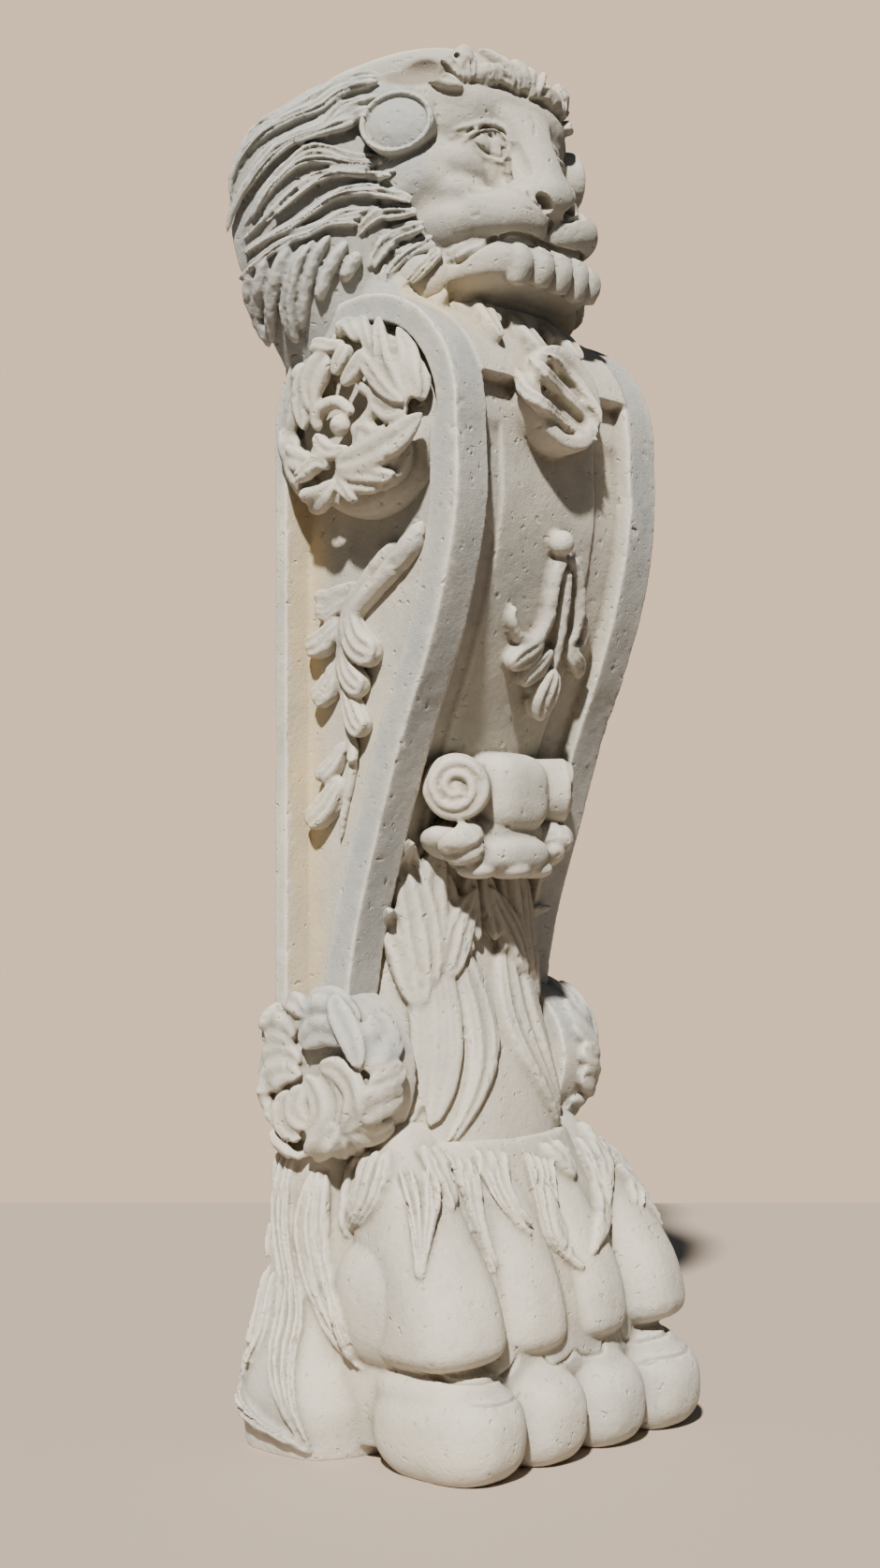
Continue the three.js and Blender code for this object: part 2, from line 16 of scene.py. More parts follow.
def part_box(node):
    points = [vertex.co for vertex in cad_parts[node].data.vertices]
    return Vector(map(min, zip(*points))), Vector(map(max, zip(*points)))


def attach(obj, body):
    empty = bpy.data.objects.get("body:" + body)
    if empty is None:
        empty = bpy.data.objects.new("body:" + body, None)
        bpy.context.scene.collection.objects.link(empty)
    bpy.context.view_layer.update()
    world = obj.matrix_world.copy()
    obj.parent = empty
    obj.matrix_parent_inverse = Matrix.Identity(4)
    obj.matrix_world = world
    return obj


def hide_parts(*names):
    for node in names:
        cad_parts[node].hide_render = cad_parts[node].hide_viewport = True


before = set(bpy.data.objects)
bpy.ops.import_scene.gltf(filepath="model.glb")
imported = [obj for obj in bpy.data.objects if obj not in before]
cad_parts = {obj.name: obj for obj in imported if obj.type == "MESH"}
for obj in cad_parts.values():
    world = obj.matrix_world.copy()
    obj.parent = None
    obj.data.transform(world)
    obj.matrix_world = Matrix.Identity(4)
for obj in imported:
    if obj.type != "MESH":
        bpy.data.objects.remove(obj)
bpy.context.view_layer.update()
NODE = "lion_corbel"
MM = 0.001
node_low, node_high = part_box(NODE)
BACK_Y = node_high.y / MM
TOTAL_HEIGHT = node_high.z / MM
HALF_WIDTH = node_high.x / MM
print("casting", round(TOTAL_HEIGHT), "mm high and", round(2 * HALF_WIDTH), "mm wide")

# %% [markdown]
# ## Places on the casting and in the photograph
# A place is x across, f forward of the flat back, and z up. Carved lines are easiest to place where the eye
# sees them, so a line may be drawn in photograph pixels and cast from the camera on to a surface. It then
# has a real place on the stone, and both sides of the lion get it, because the casting is the same both ways.

# %% Places and the photograph's camera
def at(x, f, z):
    """A place in the frame, in millimetres, from across, forward and up."""
    x, f, z = np.broadcast_arrays(np.asarray(x, float), f, z)
    return np.stack([x, BACK_Y - f, z], axis=-1)


PHOTO_WIDTH = 940
PHOTO_HEIGHT = 1674
HORIZON_DROP = 83
LENS = 48.9
SENSOR = 36.0
CAMERA_TURN = radians(47)
CAMERA_PLACE = at(-1460.8, 1440.3, 522)
AHEAD = np.array([sin(CAMERA_TURN), cos(CAMERA_TURN), 0])
ACROSS = np.array([cos(CAMERA_TURN), -sin(CAMERA_TURN), 0])
UP = np.array([0, 0, 1.0])
LEFT = np.array([-1.0, 0, 0])
FRONT = np.array([0, -1.0, 0])


def photo_ray(pixel):
    """The direction from the camera through a pixel of the photograph."""
    right = pixel[0] - PHOTO_WIDTH / 2
    rise = PHOTO_HEIGHT / 2 + HORIZON_DROP - pixel[1]
    ray = AHEAD * LENS / SENSOR * PHOTO_HEIGHT + ACROSS * right + UP * rise
    return ray / np.linalg.norm(ray)


def smooth_line(points, count):
    """A smooth curve through given points, as evenly numbered places along it."""
    points = np.asarray(points, float)
    ends = np.vstack([2 * points[0] - points[1], points, 2 * points[-1] - points[-2]])
    place = np.linspace(0, len(points) - 1, count)
    first = np.minimum(place.astype(int), len(points) - 2)
    u = (place - first)[:, None]
    a, b, c, d = (ends[first + k] for k in range(4))
    return b + 0.5 * ((c - a) * u + (2 * a - 5 * b + 4 * c - d) * u**2 + (3 * b - a - 3 * c + d) * u**3)


def surface_of(bodies):
    """A search tree of some bodies, for casting drawn lines on to them."""
    points, triangles = join(bodies)
    return BVHTree.FromPolygons(points.tolist(), triangles.tolist())


NEAR, FAR, STRIDE = 1200, 2300, 12


def cast(pixels, surface):
    """Where a line of photograph pixels lies on a surface, with the surface's normals there."""
    places, normals = [], []
    for pixel in pixels:
        ray = photo_ray(pixel)
        hit, normal, _, _ = surface.ray_cast(CAMERA_PLACE.tolist(), ray.tolist())
        if hit is None:
            along = [CAMERA_PLACE + ray * reach for reach in range(NEAR, FAR, STRIDE)]
            found = [surface.find_nearest(p.tolist()) for p in along]
            hit, normal, _, _ = min(found, key=lambda f: f[3])
        normal = np.array(normal)
        places.append(hit)
        normals.append(normal if normal @ ray < 0 else -normal)
    return np.array(places), np.array(normals)


# %% [markdown]
# ## Bodies that the carving is built up from
# A carver starts from lumps of clay or stone: balls, columns, discs, bands and tapering locks. Each is a UV
# sphere added in Blender, with its rings moved on to the loops of the wanted form. Many such bodies are laid
# over each other, and a voxel Remesh later fuses them into one skin, with a crease wherever two bodies meet.

# %% A sphere whose rings become any loops
spheres = {}


def sphere(sides, rings):
    """A primitive sphere as points, each point's ring and place round it, and triangles."""
    if (sides, rings) not in spheres:
        bpy.ops.object.select_all(action="DESELECT")
        bpy.ops.mesh.primitive_uv_sphere_add(segments=sides, ring_count=rings, radius=1)
        made = bpy.context.object
        mesh = made.data
        points = np.empty(len(mesh.vertices) * 3)
        mesh.vertices.foreach_get("co", points)
        points = points.reshape(-1, 3)
        mesh.calc_loop_triangles()
        triangles = np.empty(len(mesh.loop_triangles) * 3, int)
        mesh.loop_triangles.foreach_get("vertices", triangles)
        ring = np.rint(np.arccos(np.clip(points[:, 2], -1, 1)) / pi * rings).astype(int)
        side = np.rint(np.arctan2(points[:, 1], points[:, 0]) / (2 * pi) * sides).astype(int) % sides
        spheres[sides, rings] = points, ring, side, triangles.reshape(-1, 3)
        bpy.data.objects.remove(made)
        bpy.data.meshes.remove(mesh)
    return spheres[sides, rings]


def loft(loops):
    """A closed body through a row of loops, each with the same number of points."""
    count, sides = loops.shape[:2]
    _, ring, side, triangles = sphere(sides, count + 1)
    points = loops[np.clip(ring - 1, 0, count - 1), side]
    points[ring == 0] = loops[0].mean(axis=0)
    points[ring == count + 1] = loops[-1].mean(axis=0)
    return points, triangles


def join(bodies):
    """Several bodies as one list of points and one of triangles."""
    starts = np.cumsum([0] + [len(points) for points, _ in bodies[:-1]])
    points = np.vstack([points for points, _ in bodies])
    return points, np.vstack([triangles + start for (_, triangles), start in zip(bodies, starts)])


def both(bodies):
    """The bodies of the left side and the same on the right."""
    return bodies + [(points * [-1, 1, 1], triangles[:, ::-1]) for points, triangles in bodies]


# %% Balls, columns, discs, bands and locks
def turned(points, turn):
    """Points turned about the x, y and z axes in order, by radians."""
    for axis, angle in enumerate(turn):
        one, two = (axis + 1) % 3, (axis + 2) % 3
        a = points[:, one] * cos(angle) - points[:, two] * sin(angle)
        b = points[:, one] * sin(angle) + points[:, two] * cos(angle)
        points = points.copy()
        points[:, one] = a
        points[:, two] = b
    return points


def ball(x, f, z, radii, turn=(0, 0, 0), square=2.0, sides=32, rings=22):
    """A rounded lump with radii across, forward and up; a higher squareness makes it boxier."""
    points, _, _, triangles = sphere(sides, rings)
    reach = (np.abs(points) ** square).sum(axis=1) ** (-1 / square)
    return turned(points * reach[:, None] * radii, turn) + at(x, f, z), triangles


def column(sections, square=2.8, sides=80, rows=40):
    """A closed column whose section at each height is z, half width, back and front."""
    z, half, back, front = (row[:, None] for row in smooth_line(sections, rows).T)
    turn = np.linspace(0, 2 * pi, sides, endpoint=False)
    reach = (np.abs(np.cos(turn)) ** square + np.abs(np.sin(turn)) ** square) ** (-1 / square)
    x = half * reach * np.cos(turn)
    f = (back + front) / 2 + (front - back) / 2 * reach * np.sin(turn)
    return loft(at(x, f, z))


def disc(profile, place, axis, sides=72, stretch=(1, 1, 1)):
    """A turned disc from its profile of radius and height, with its axis pointed along a direction."""
    axis = np.asarray(axis, float) / np.linalg.norm(axis)
    right = np.cross(UP, axis)
    right /= np.linalg.norm(right)
    rise = np.cross(axis, right)
    turn = np.linspace(0, 2 * pi, sides, endpoint=False)[:, None]
    round_it = right * np.cos(turn) + rise * np.sin(turn)
    loops = np.array([axis * height + round_it * radius for radius, height in profile])
    points, triangles = loft(loops)
    return points * stretch + place, triangles


def slab(outline, x0, x1):
    """A flat plate with an outline of forward and up, from x0 to x1 across."""
    f, z = np.asarray(outline, float).T
    return loft(np.array([at(x, f, z) for x in (x0, x1)]))


def band(outer, inner, x0, x1, draft=0):
    """A raised border between two lines of forward and up; its inner wall leans by the draft."""
    outer, inner = np.asarray(outer, float), np.asarray(inner, float)
    slope = (outer - inner) / np.linalg.norm(outer - inner, axis=1, keepdims=True) * draft
    corners = [(outer, x0), (outer, x1), (inner, x1), (inner - slope, x0)]
    return loft(np.stack([at(x, line[:, 0], line[:, 1]) for line, x in corners], axis=1))


def swell(t, peak, tip):
    """How wide a lock is along its length: it swells to its peak and draws out to its tip."""
    rise = np.sqrt(np.clip(1 - ((peak - t) / peak) ** 2, 0, 1))
    fall = np.clip(1 - ((t - peak) / (1 - peak)) ** 2, 0, 1) ** tip
    return np.where(t < peak, rise, fall)


def lock(points, normals, width, thick, peak=0.35, tip=0.6, square=2.0, sides=10, rows=16):
    """A tapering body swept along a line, lying flat on the surface whose normals are given."""
    line = smooth_line(points, rows)
    facing = smooth_line(np.broadcast_to(normals, np.shape(points)), rows)
    along = np.gradient(line, axis=0)
    along /= np.linalg.norm(along, axis=1, keepdims=True)
    facing = facing - (facing * along).sum(axis=1, keepdims=True) * along
    facing /= np.linalg.norm(facing, axis=1, keepdims=True)
    across = np.cross(facing, along)
    t = np.linspace(0, 1, rows)
    size = np.maximum(swell(t, peak, tip), 0.04)[:, None, None]
    turn = np.linspace(0, 2 * pi, sides, endpoint=False)[:, None]
    reach = (np.abs(np.cos(turn)) ** square + np.abs(np.sin(turn)) ** square) ** (-1 / square)
    section = across[:, None] * np.cos(turn) * width / 2 + facing[:, None] * np.sin(turn) * thick / 2
    return loft(line[:, None] + section * size * reach)


# %% [markdown]
# ## Hair and leaves
# Hair on a carved lion is cut as bundles: each bundle is domed, its strands run side by side and draw
# together at the tip, and deep lines part the bundles. Leaves are cut the same way, with ribs for strands.
# Loops lay both on a surface, between guide lines, with small seeded differences so that no two are alike.

# %% Tresses between guide lines and leaves along one line
dice = np.random.default_rng(11)


def tresses(guides, count, strands, width, thick, surface, dome=5.0, lift=0.0, rows=12, short=0.2):
    """Bundles of strands between guide lines drawn on the photograph, laid on a surface."""
    sheet = np.array([smooth_line(guide, rows) for guide in guides])
    bodies = []
    for i in range(count):
        rise = lift + dice.uniform(-0.4, 0.5) * dome
        end = 1 - short * dice.random()
        t = np.linspace(0, end, rows)
        for j in range(strands):
            place = (j + 0.5) / strands - 0.5
            spread = place * (1.05 - 0.8 * (t / end) ** 3) + dice.uniform(-0.05, 0.05)
            s = np.clip((i + 0.5 + spread) / count, 0, 1) * (len(guides) - 1)
            first = np.minimum(s.astype(int), len(guides) - 2)
            step = t * (rows - 1)
            low = np.minimum(step.astype(int), rows - 2)
            a = sheet[first, low] + (sheet[first, low + 1] - sheet[first, low]) * (step - low)[:, None]
            b = sheet[first + 1, low] + (sheet[first + 1, low + 1] - sheet[first + 1, low]) * (step - low)[:, None]
            places, normals = cast(a + (b - a) * (s - first)[:, None], surface)
            height = rise + dome * (1 - (2 * place) ** 2)
            wide = width * dice.uniform(0.85, 1.15)
            bodies.append(lock(places + normals * height, normals, wide, thick, peak=0.3, tip=0.55, sides=8))
    return bodies


partings_px = []


def bundle(upper, lower, strands, thick, surface, lift=1.0, tilt=6.0, tip=0.5, full=1.35):
    """Strands side by side between two lines drawn on the photograph, proudest along the lower one."""
    rows = 14
    top, foot = smooth_line(upper, rows), smooth_line(lower, rows)
    gap = np.linalg.norm(cast(top, surface)[0] - cast(foot, surface)[0], axis=1).mean() / strands
    bodies = []
    for j in range(strands):
        place = (j + 0.5) / strands + dice.uniform(-0.1, 0.1) / strands
        places, normals = cast(top + (foot - top) * place, surface)
        height = lift + tilt * place**2 + dice.uniform(-0.8, 0.8)
        end = rows - int(dice.integers(0, 3))
        line = (places + normals * height)[:end]
        wide = max(gap * full * dice.uniform(0.9, 1.1), 5)
        bodies.append(lock(line, normals[:end], wide, thick, peak=0.3, tip=tip, sides=10, rows=22))
        partings_px.append((top + (foot - top) * j / strands)[1:-1])
    return bodies


def part(chisel, lines, width=4.5, depth=2.4):
    """Cut the lines between strands."""
    for line in lines:
        chisel.drawn(line[::2], width, depth, taper=0.15)


def leaf(places, normals, width, thick, ribs=3, curl=0.0, lift=0.0, peak=0.45, tip=0.5):
    """A leaf along a line on a surface: ribs that spread from the stalk and meet at a raised tip."""
    places = np.asarray(places, float)
    normals = np.broadcast_to(np.asarray(normals, float), places.shape)
    rows = 12
    line = smooth_line(places, rows)
    facing = smooth_line(normals, rows)
    facing /= np.linalg.norm(facing, axis=1, keepdims=True)
    along = np.gradient(line, axis=0)
    across = np.cross(facing, along)
    across /= np.linalg.norm(across, axis=1, keepdims=True)
    t = np.linspace(0, 1, rows)[:, None]
    line = line + facing * (lift + curl * t**2)
    bodies = [lock(line, facing, width, thick, peak, tip)]
    for j in range(ribs):
        place = (j + 0.5) / ribs - 0.5
        offset = across * place * width * 0.92 * swell(t, peak, tip)
        raised = facing * thick * (0.3 - 0.5 * place**2)
        rib = line + offset + raised
        bodies.append(lock(rib, facing, width * 0.95 / ribs, thick * 0.62, peak, tip * 1.1, sides=8))
    return bodies


def drawn_leaf(pixels, surface, *sizes, **options):
    """A leaf along a line drawn on the photograph."""
    return leaf(*cast(smooth_line(pixels, 6), surface), *sizes, **options)


# %% [markdown]
# ## Fusing, chiselling and weathering
# The gathered bodies become one closed skin with Blender's voxel Remesh, and a Smooth modifier wears the
# creases as casting does. Fine lines are then cut or raised by moving the skin near a drawn line, as a
# chisel would. Last comes age: a slow waviness, sandy lumps, air holes and chipped edges.

# %% Drop the crumbs that voxels leave
def read_edges(mesh):
    """A mesh's edges, by their two points."""
    edges = np.empty(len(mesh.edges) * 2, int)
    mesh.edges.foreach_get("vertices", edges)
    return edges.reshape(-1, 2)


def bit_sizes(mesh):
    """How many points there are in the loose bit that each point belongs to."""
    label = np.arange(len(mesh.vertices))
    a, b = read_edges(mesh).T
    while (label[a] != label[b]).any():
        low = np.minimum(label[a], label[b])
        lower = label.copy()
        np.minimum.at(lower, label[a], low)
        np.minimum.at(lower, label[b], low)
        label = lower[lower[label]]
    return np.bincount(label, minlength=len(label))[label]


def drop_crumbs(piece, smallest=400):
    """Delete loose bits too small to be carving, so that no stray faces are left."""
    mesh = piece.data
    crumbs = bit_sizes(mesh) < smallest
    mesh.vertices.foreach_set("select", crumbs)
    bpy.context.tool_settings.mesh_select_mode = (True, False, False)
    bpy.ops.object.mode_set(mode="EDIT")
    bpy.ops.mesh.delete(type="VERT")
    bpy.ops.object.mode_set(mode="OBJECT")
    if crumbs.any():
        print(piece.name, "crumb points dropped", int(crumbs.sum()), "of", len(crumbs))


# %% Fuse bodies into one skin
def fuse(name, bodies, voxel=2.0, smoothing=3):
    """One closed mesh object from many overlapping bodies."""
    points, triangles = join(bodies)
    mesh = bpy.data.meshes.new(name)
    mesh.from_pydata((points * MM).tolist(), [], triangles.tolist())
    piece = bpy.data.objects.new(name, mesh)
    bpy.context.collection.objects.link(piece)
    bpy.ops.object.select_all(action="DESELECT")
    piece.select_set(True)
    bpy.context.view_layer.objects.active = piece
    remesh = piece.modifiers.new("fuse", "REMESH")
    remesh.mode = "VOXEL"
    remesh.voxel_size = voxel * MM
    bpy.ops.object.modifier_apply(modifier=remesh.name)
    drop_crumbs(piece)
    smooth = piece.modifiers.new("wear", "SMOOTH")
    smooth.factor = 0.5
    smooth.iterations = smoothing
    bpy.ops.object.modifier_apply(modifier=smooth.name)
    return piece


def read_points(mesh):
    """A mesh's points in millimetres."""
    points = np.empty(len(mesh.vertices) * 3)
    mesh.vertices.foreach_get("co", points)
    return points.reshape(-1, 3) / MM


def read_triangles(mesh):
    """A mesh's triangles, by their corner points."""
    mesh.calc_loop_triangles()
    corners = np.empty(len(mesh.loop_triangles) * 3, int)
    mesh.loop_triangles.foreach_get("vertices", corners)
    return corners.reshape(-1, 3)


def melt(bodies, voxel, smoothing):
    """Bodies run together into one soft body, which others can then be laid on."""
    piece = fuse("soft", bodies, voxel, smoothing)
    mesh = piece.data
    soft = read_points(mesh), read_triangles(mesh)
    bpy.data.objects.remove(piece)
    bpy.data.meshes.remove(mesh)
    return soft


def read_normals(mesh):
    """A mesh's normals at its points."""
    normals = np.empty(len(mesh.vertices) * 3)
    mesh.vertex_normals.foreach_get("vector", normals)
    return normals.reshape(-1, 3)


# %% Noise that is the same on every run
CELLS = 32
lattice = np.random.default_rng(5).random((CELLS, CELLS, CELLS))


def cloud(points, size):
    """Smooth noise from 0 to 1 at some points, with lumps of a given size in millimetres."""
    scaled = points / size
    cell = np.floor(scaled).astype(int)
    u = scaled - cell
    u = u * u * (3 - 2 * u)
    total = np.zeros(len(points))
    for corner in np.ndindex(2, 2, 2):
        weight = np.prod(np.where(corner, u, 1 - u), axis=1)
        x, y, z = ((cell + corner) % CELLS).T
        total += weight * lattice[x, y, z]
    return total


# %% A chisel that follows drawn lines
class Chisel:
    """Cuts and raises lines on a fused piece, the same on its left and right."""

    def __init__(self, piece):
        self.mesh = piece.data
        self.points = read_points(self.mesh)
        self.normals = read_normals(self.mesh)
        self.folded = self.points.copy()
        self.folded[:, 0] = -np.abs(self.folded[:, 0])
        self.move = np.zeros(len(self.points))
        self.surface = BVHTree.FromPolygons(self.points.tolist(), read_triangles(self.mesh).tolist())

    def line(self, places, width, depth, sharp=2.0, taper=0.2, samples=24):
        """Cut a groove of a width and depth along some places; a negative depth raises a bead."""
        path = smooth_line(places, samples)
        low, high = path.min(axis=0) - width, path.max(axis=0) + width
        near = np.flatnonzero(((self.folded > low) & (self.folded < high)).all(axis=1))
        if len(near) == 0:
            return
        start, step = path[:-1], np.diff(path, axis=0)
        length = np.maximum((step * step).sum(axis=1), 1e-9)
        best = np.full(len(near), np.inf)
        place = np.zeros(len(near))
        for k in range(len(start)):
            reach = self.folded[near] - start[k]
            t = np.clip(reach @ step[k] / length[k], 0, 1)
            gap = np.linalg.norm(reach - t[:, None] * step[k], axis=1)
            closer = gap < best
            best[closer] = gap[closer]
            place[closer] = (k + t[closer]) / len(start)
        ends = np.clip(np.minimum(place, 1 - place) / max(taper, 1e-6), 0, 1) ** 0.5 if taper else 1.0
        half = width / 2 * (0.5 + 0.5 * ends)
        cut = depth * ends * np.clip(1 - (best / half) ** 2, 0, 1) ** (sharp / 2 + 0.5)
        self.move[near] = np.where(np.abs(cut) > np.abs(self.move[near]), -cut, self.move[near])

    def drawn(self, pixels, width, depth, **options):
        """Cut a line drawn on the photograph."""
        places, _ = cast(smooth_line(pixels, max(6, 3 * len(pixels))), self.surface)
        self.line(places, width, depth, **options)

    def hollow(self, x, f, z, radii, depth):
        """Sink a soft hollow, or raise a swelling with a negative depth, round a place."""
        reach = (self.folded - at(x, f, z)) / radii
        self.move -= depth * np.clip(1 - (reach * reach).sum(axis=1), 0, 1) ** 1.5

    def finish(self):
        """Move the skin by all the strokes together."""
        self.points += self.normals * self.move[:, None]
        self.mesh.vertices.foreach_set("co", (self.points * MM).ravel())
        self.mesh.update()


# %% [markdown]
# ## The console
# Two cheeks stand either side of a sunk front panel. Each cheek has a raised border round a sunk side panel,
# and its outline is an arch above a long S curve. The border is a band lofted between two such outlines.

# %% Console sizes and its side outline
CONSOLE_HALF_WIDTH = 138
CHEEK_INNER = 104
RECESS_FLOOR = 110
ARCH_F, ARCH_Z, ARCH_RADIUS = 112, 908, 113
ARCH_BAND, BACK_STILE, FRONT_BORDER = 24, 15, 32
CONSOLE_FOOT = 290
PANEL_SINK = 14
FRONT_EDGE = [
    [908, 225], [830, 225.5], [760, 211], [700, 191], [640, 165],
    [580, 143], [520, 123], [460, 105], [400, 94], [330, 88], [280, 88],
]
front_edge = smooth_line(FRONT_EDGE, 120)[::-1]


def front_at(z):
    """How far forward the console's front edge stands at a height."""
    return np.interp(z, front_edge[:, 0], front_edge[:, 1])


def console_line(back, arch, front):
    """The console's side outline as forward and up, set in at the back, the arch and the front."""
    radius = ARCH_RADIUS - arch
    rows = np.linspace(CONSOLE_FOOT, ARCH_Z, 60)
    bend = np.linspace(0, pi, 40)[1:-1]
    rising = np.stack([front_at(rows) - front, rows], axis=1)
    rising[-1, 0] = ARCH_F + radius
    arch_line = np.stack([ARCH_F + radius * np.cos(bend), ARCH_Z + radius * np.sin(bend)], axis=1)
    arch_line[:, 0] = np.maximum(arch_line[:, 0], back)
    falling = np.stack([np.full(20, float(back)), np.linspace(ARCH_Z, CONSOLE_FOOT, 20)], axis=1)
    return np.vstack([rising, arch_line, falling])


# %% Cheeks, side panels and front panel
whole = console_line(0, 0, 0)
cheek = [
    slab(whole, -CHEEK_INNER + 6, -RECESS_FLOOR),
    band(whole, console_line(BACK_STILE, ARCH_BAND, FRONT_BORDER), -CHEEK_INNER, -CONSOLE_HALF_WIDTH, draft=3),
]
FIELD_HALF_WIDTH = 64
panel = [
    slab(console_line(0, PANEL_SINK, PANEL_SINK + 3), -CHEEK_INNER - 2, CHEEK_INNER + 2),
    slab(console_line(0, PANEL_SINK, PANEL_SINK), -FIELD_HALF_WIDTH, FIELD_HALF_WIDTH),
]
console = both(cheek) + panel
ground = surface_of(console)
print("console bodies", len(console))

# %% [markdown]
# ## The plate, the medallion and the pendant
# A plate is laid over the top of the panel, cut square below, and a ringed medallion hangs from it with a
# lock of the beard flowing over it. Lower down a pendant is modelled on the panel: a ball, two straps that
# end in hooks, and leafy buds.

# %% Plate and medallion
PLATE_HALF_WIDTH = 101
MEDALLION_F, MEDALLION_Z, MEDALLION_RADIUS = 229, 934, 48


def on_arch(x, degrees, proud):
    """A place over the arch, by its angle above the arch's centre."""
    turn = np.radians(degrees)
    reach = ARCH_RADIUS + proud
    return at(x, ARCH_F + reach * np.cos(turn), ARCH_Z + reach * np.sin(turn))


plate_turn = np.radians(np.linspace(19, 100, 24))
plate_lines = [
    np.stack([ARCH_F + r * np.cos(plate_turn), ARCH_Z + r * np.sin(plate_turn)], axis=1) for r in (115, 84)
]
plate = [band(*plate_lines, -PLATE_HALF_WIDTH, PLATE_HALF_WIDTH)]
medallion_profile = [
    [0, -24], [48, -24], [49, -3], [48.5, 3], [46, 5], [38, 5], [34, 3], [33, -6], [16, -6], [0, -6],
]
medallion_axis = np.array([0, -1, 0.16])
medallion = [disc(medallion_profile, at(0, MEDALLION_F, MEDALLION_Z), medallion_axis)]
medal_face = surface_of(medallion)
MEDAL_LOCKS_PX = [
    [[556, 396], [566, 422], [584, 442], [606, 458], [636, 470]],
    [[566, 384], [580, 404], [600, 424], [618, 442], [636, 464]],
    [[582, 378], [604, 394], [622, 414], [634, 436], [638, 456]],
]
for line in MEDAL_LOCKS_PX:
    medallion += drawn_leaf(line, medal_face, 15, 13, ribs=2, lift=3, peak=0.3, tip=0.7)

# %% Pendant on the panel
PENDANT_X = 12
STRAPS_PX = [
    ([[598, 592], [590, 606], [584, 632], [580, 658], [570, 678], [557, 684], [546, 674], [542, 658], [546, 644]], 14, 20),
    ([[600, 604], [598, 636], [594, 670], [588, 700], [582, 718]], 11, 18),
    ([[602, 594], [611, 608], [614, 640], [611, 668], [603, 686], [611, 690], [619, 676], [621, 656]], 11, 17),
]
BUDS_PX = [
    ([[574, 682], [560, 692], [546, 700], [535, 710]], 26, 20),
    ([[584, 690], [570, 706], [556, 718], [548, 728]], 22, 18),
    ([[600, 690], [606, 700], [610, 710], [608, 720]], 18, 16),
    ([[584, 712], [576, 728], [569, 744], [566, 764]], 32, 28),
]
pendant = [ball(PENDANT_X, front_at(808) - PANEL_SINK + 7, 808, [12.5, 12.5, 12.5])]
for line, width, thick in STRAPS_PX:
    places, normals = cast(smooth_line(line, 18), ground)
    pendant.append(lock(places + normals * 4, normals, width, thick, peak=0.1, tip=0.25, square=2.4, rows=30))
for line, width, thick in BUDS_PX:
    pendant += drawn_leaf(line, ground, width, thick, ribs=3, lift=4, curl=3, peak=0.55, tip=0.6)
print("pendant bodies", len(pendant))

# %% [markdown]
# ## The bolster, the volutes and the leaf lip
# A fat bolster ties the panel to the leg. It ends each side in a volute turned to the corner, and a frilled
# leaf turns over beneath it. The spiral is a bead swept along a shrinking circle.

# %% Bolster with spiral volutes
BOLSTER_Z, VOLUTE_RADIUS = 588, 30
bolster_f = float(front_at(BOLSTER_Z))
VOLUTE_AXIS = np.array([-0.78, -0.62, 0])
VOLUTE_PLACE = at(-75, bolster_f + 21, BOLSTER_Z)
volute_profile = [
    [0, -34], [VOLUTE_RADIUS, -34], [VOLUTE_RADIUS, -2], [27, 1], [20, 1], [18, -4], [10, -2], [0, 3],
]
volute = [disc(volute_profile, VOLUTE_PLACE, VOLUTE_AXIS, sides=48)]
axis = VOLUTE_AXIS / np.linalg.norm(VOLUTE_AXIS)
sideways = np.cross(UP, axis)
turn = np.linspace(radians(10), radians(10 + 680), 60)[:, None]
spiral_radius = np.linspace(VOLUTE_RADIUS - 5, 5, 60)[:, None]
spiral = VOLUTE_PLACE + (sideways * np.cos(turn) + UP * np.sin(turn)) * spiral_radius + axis * 1
volute.append(lock(spiral, axis, 9, 10, peak=0.1, tip=0.2, square=2.4, rows=70))
bolster = [
    ball(4, bolster_f + 4, BOLSTER_Z - 4, [42, 36, 37], square=3.2, sides=48, rings=32),
    ball(0, bolster_f - 6, BOLSTER_Z - 4, [72, 24, 30], square=2.4),
] + both(volute)

# %% Leaf lip under the bolster
LIP_Z = 528
lip = [ball(-4, bolster_f + 8, LIP_Z, [50, 38, 19], square=2.6, sides=48, rings=32)]
for x, forward, radius in ((-40, 14, 15), (-10, 26, 19), (27, 21, 19)):
    lip.append(ball(x, bolster_f + forward, LIP_Z - 13, [radius, 20, 9], square=2.3))
lip += both([ball(-56, bolster_f - 2, LIP_Z + 10, [28, 30, 15], turn=(0, 0.35, 0))])
lip_skin = surface_of(lip + bolster)
LIP_LOBES_PX = [
    ([[524, 888], [506, 890], [488, 896], [469, 906]], 26),
    ([[518, 902], [504, 909], [490, 914], [474, 911]], 20),
]
for line, width in LIP_LOBES_PX:
    lip += both(drawn_leaf(line, lip_skin, width, 18, ribs=0, lift=1, curl=2, peak=0.4, tip=0.45))
lip.append(ball(0, bolster_f - 4, LIP_Z + 20, [62, 34, 20], square=2.4))

# %% [markdown]
# ## The rosettes
# Each side has a deep round wreath at the arch and another at the console's foot. Leaves overlap round the
# rim and turn the same way, and a bud is curled up in the middle. Each leaf is listed as a line drawn on the
# photograph and laid on its drum.

# %% Drums under the leaves
UPPER_ROSETTE = (106, 911)
LOWER_ROSETTE = (70, 334)


def drum(centre, radius, face):
    """The drum that a wreath lies on, from the side panel's floor out, with a rounded shoulder."""
    base = RECESS_FLOOR - 8
    rise = face - base
    profile = [
        [0, 0], [radius, 0], [radius, rise * 0.4], [radius - 2, rise * 0.7], [radius - 8, rise * 0.9],
        [radius - 18, rise], [radius * 0.5, rise - 2], [0, rise - 3],
    ]
    return disc(profile, at(-base, *centre), LEFT)


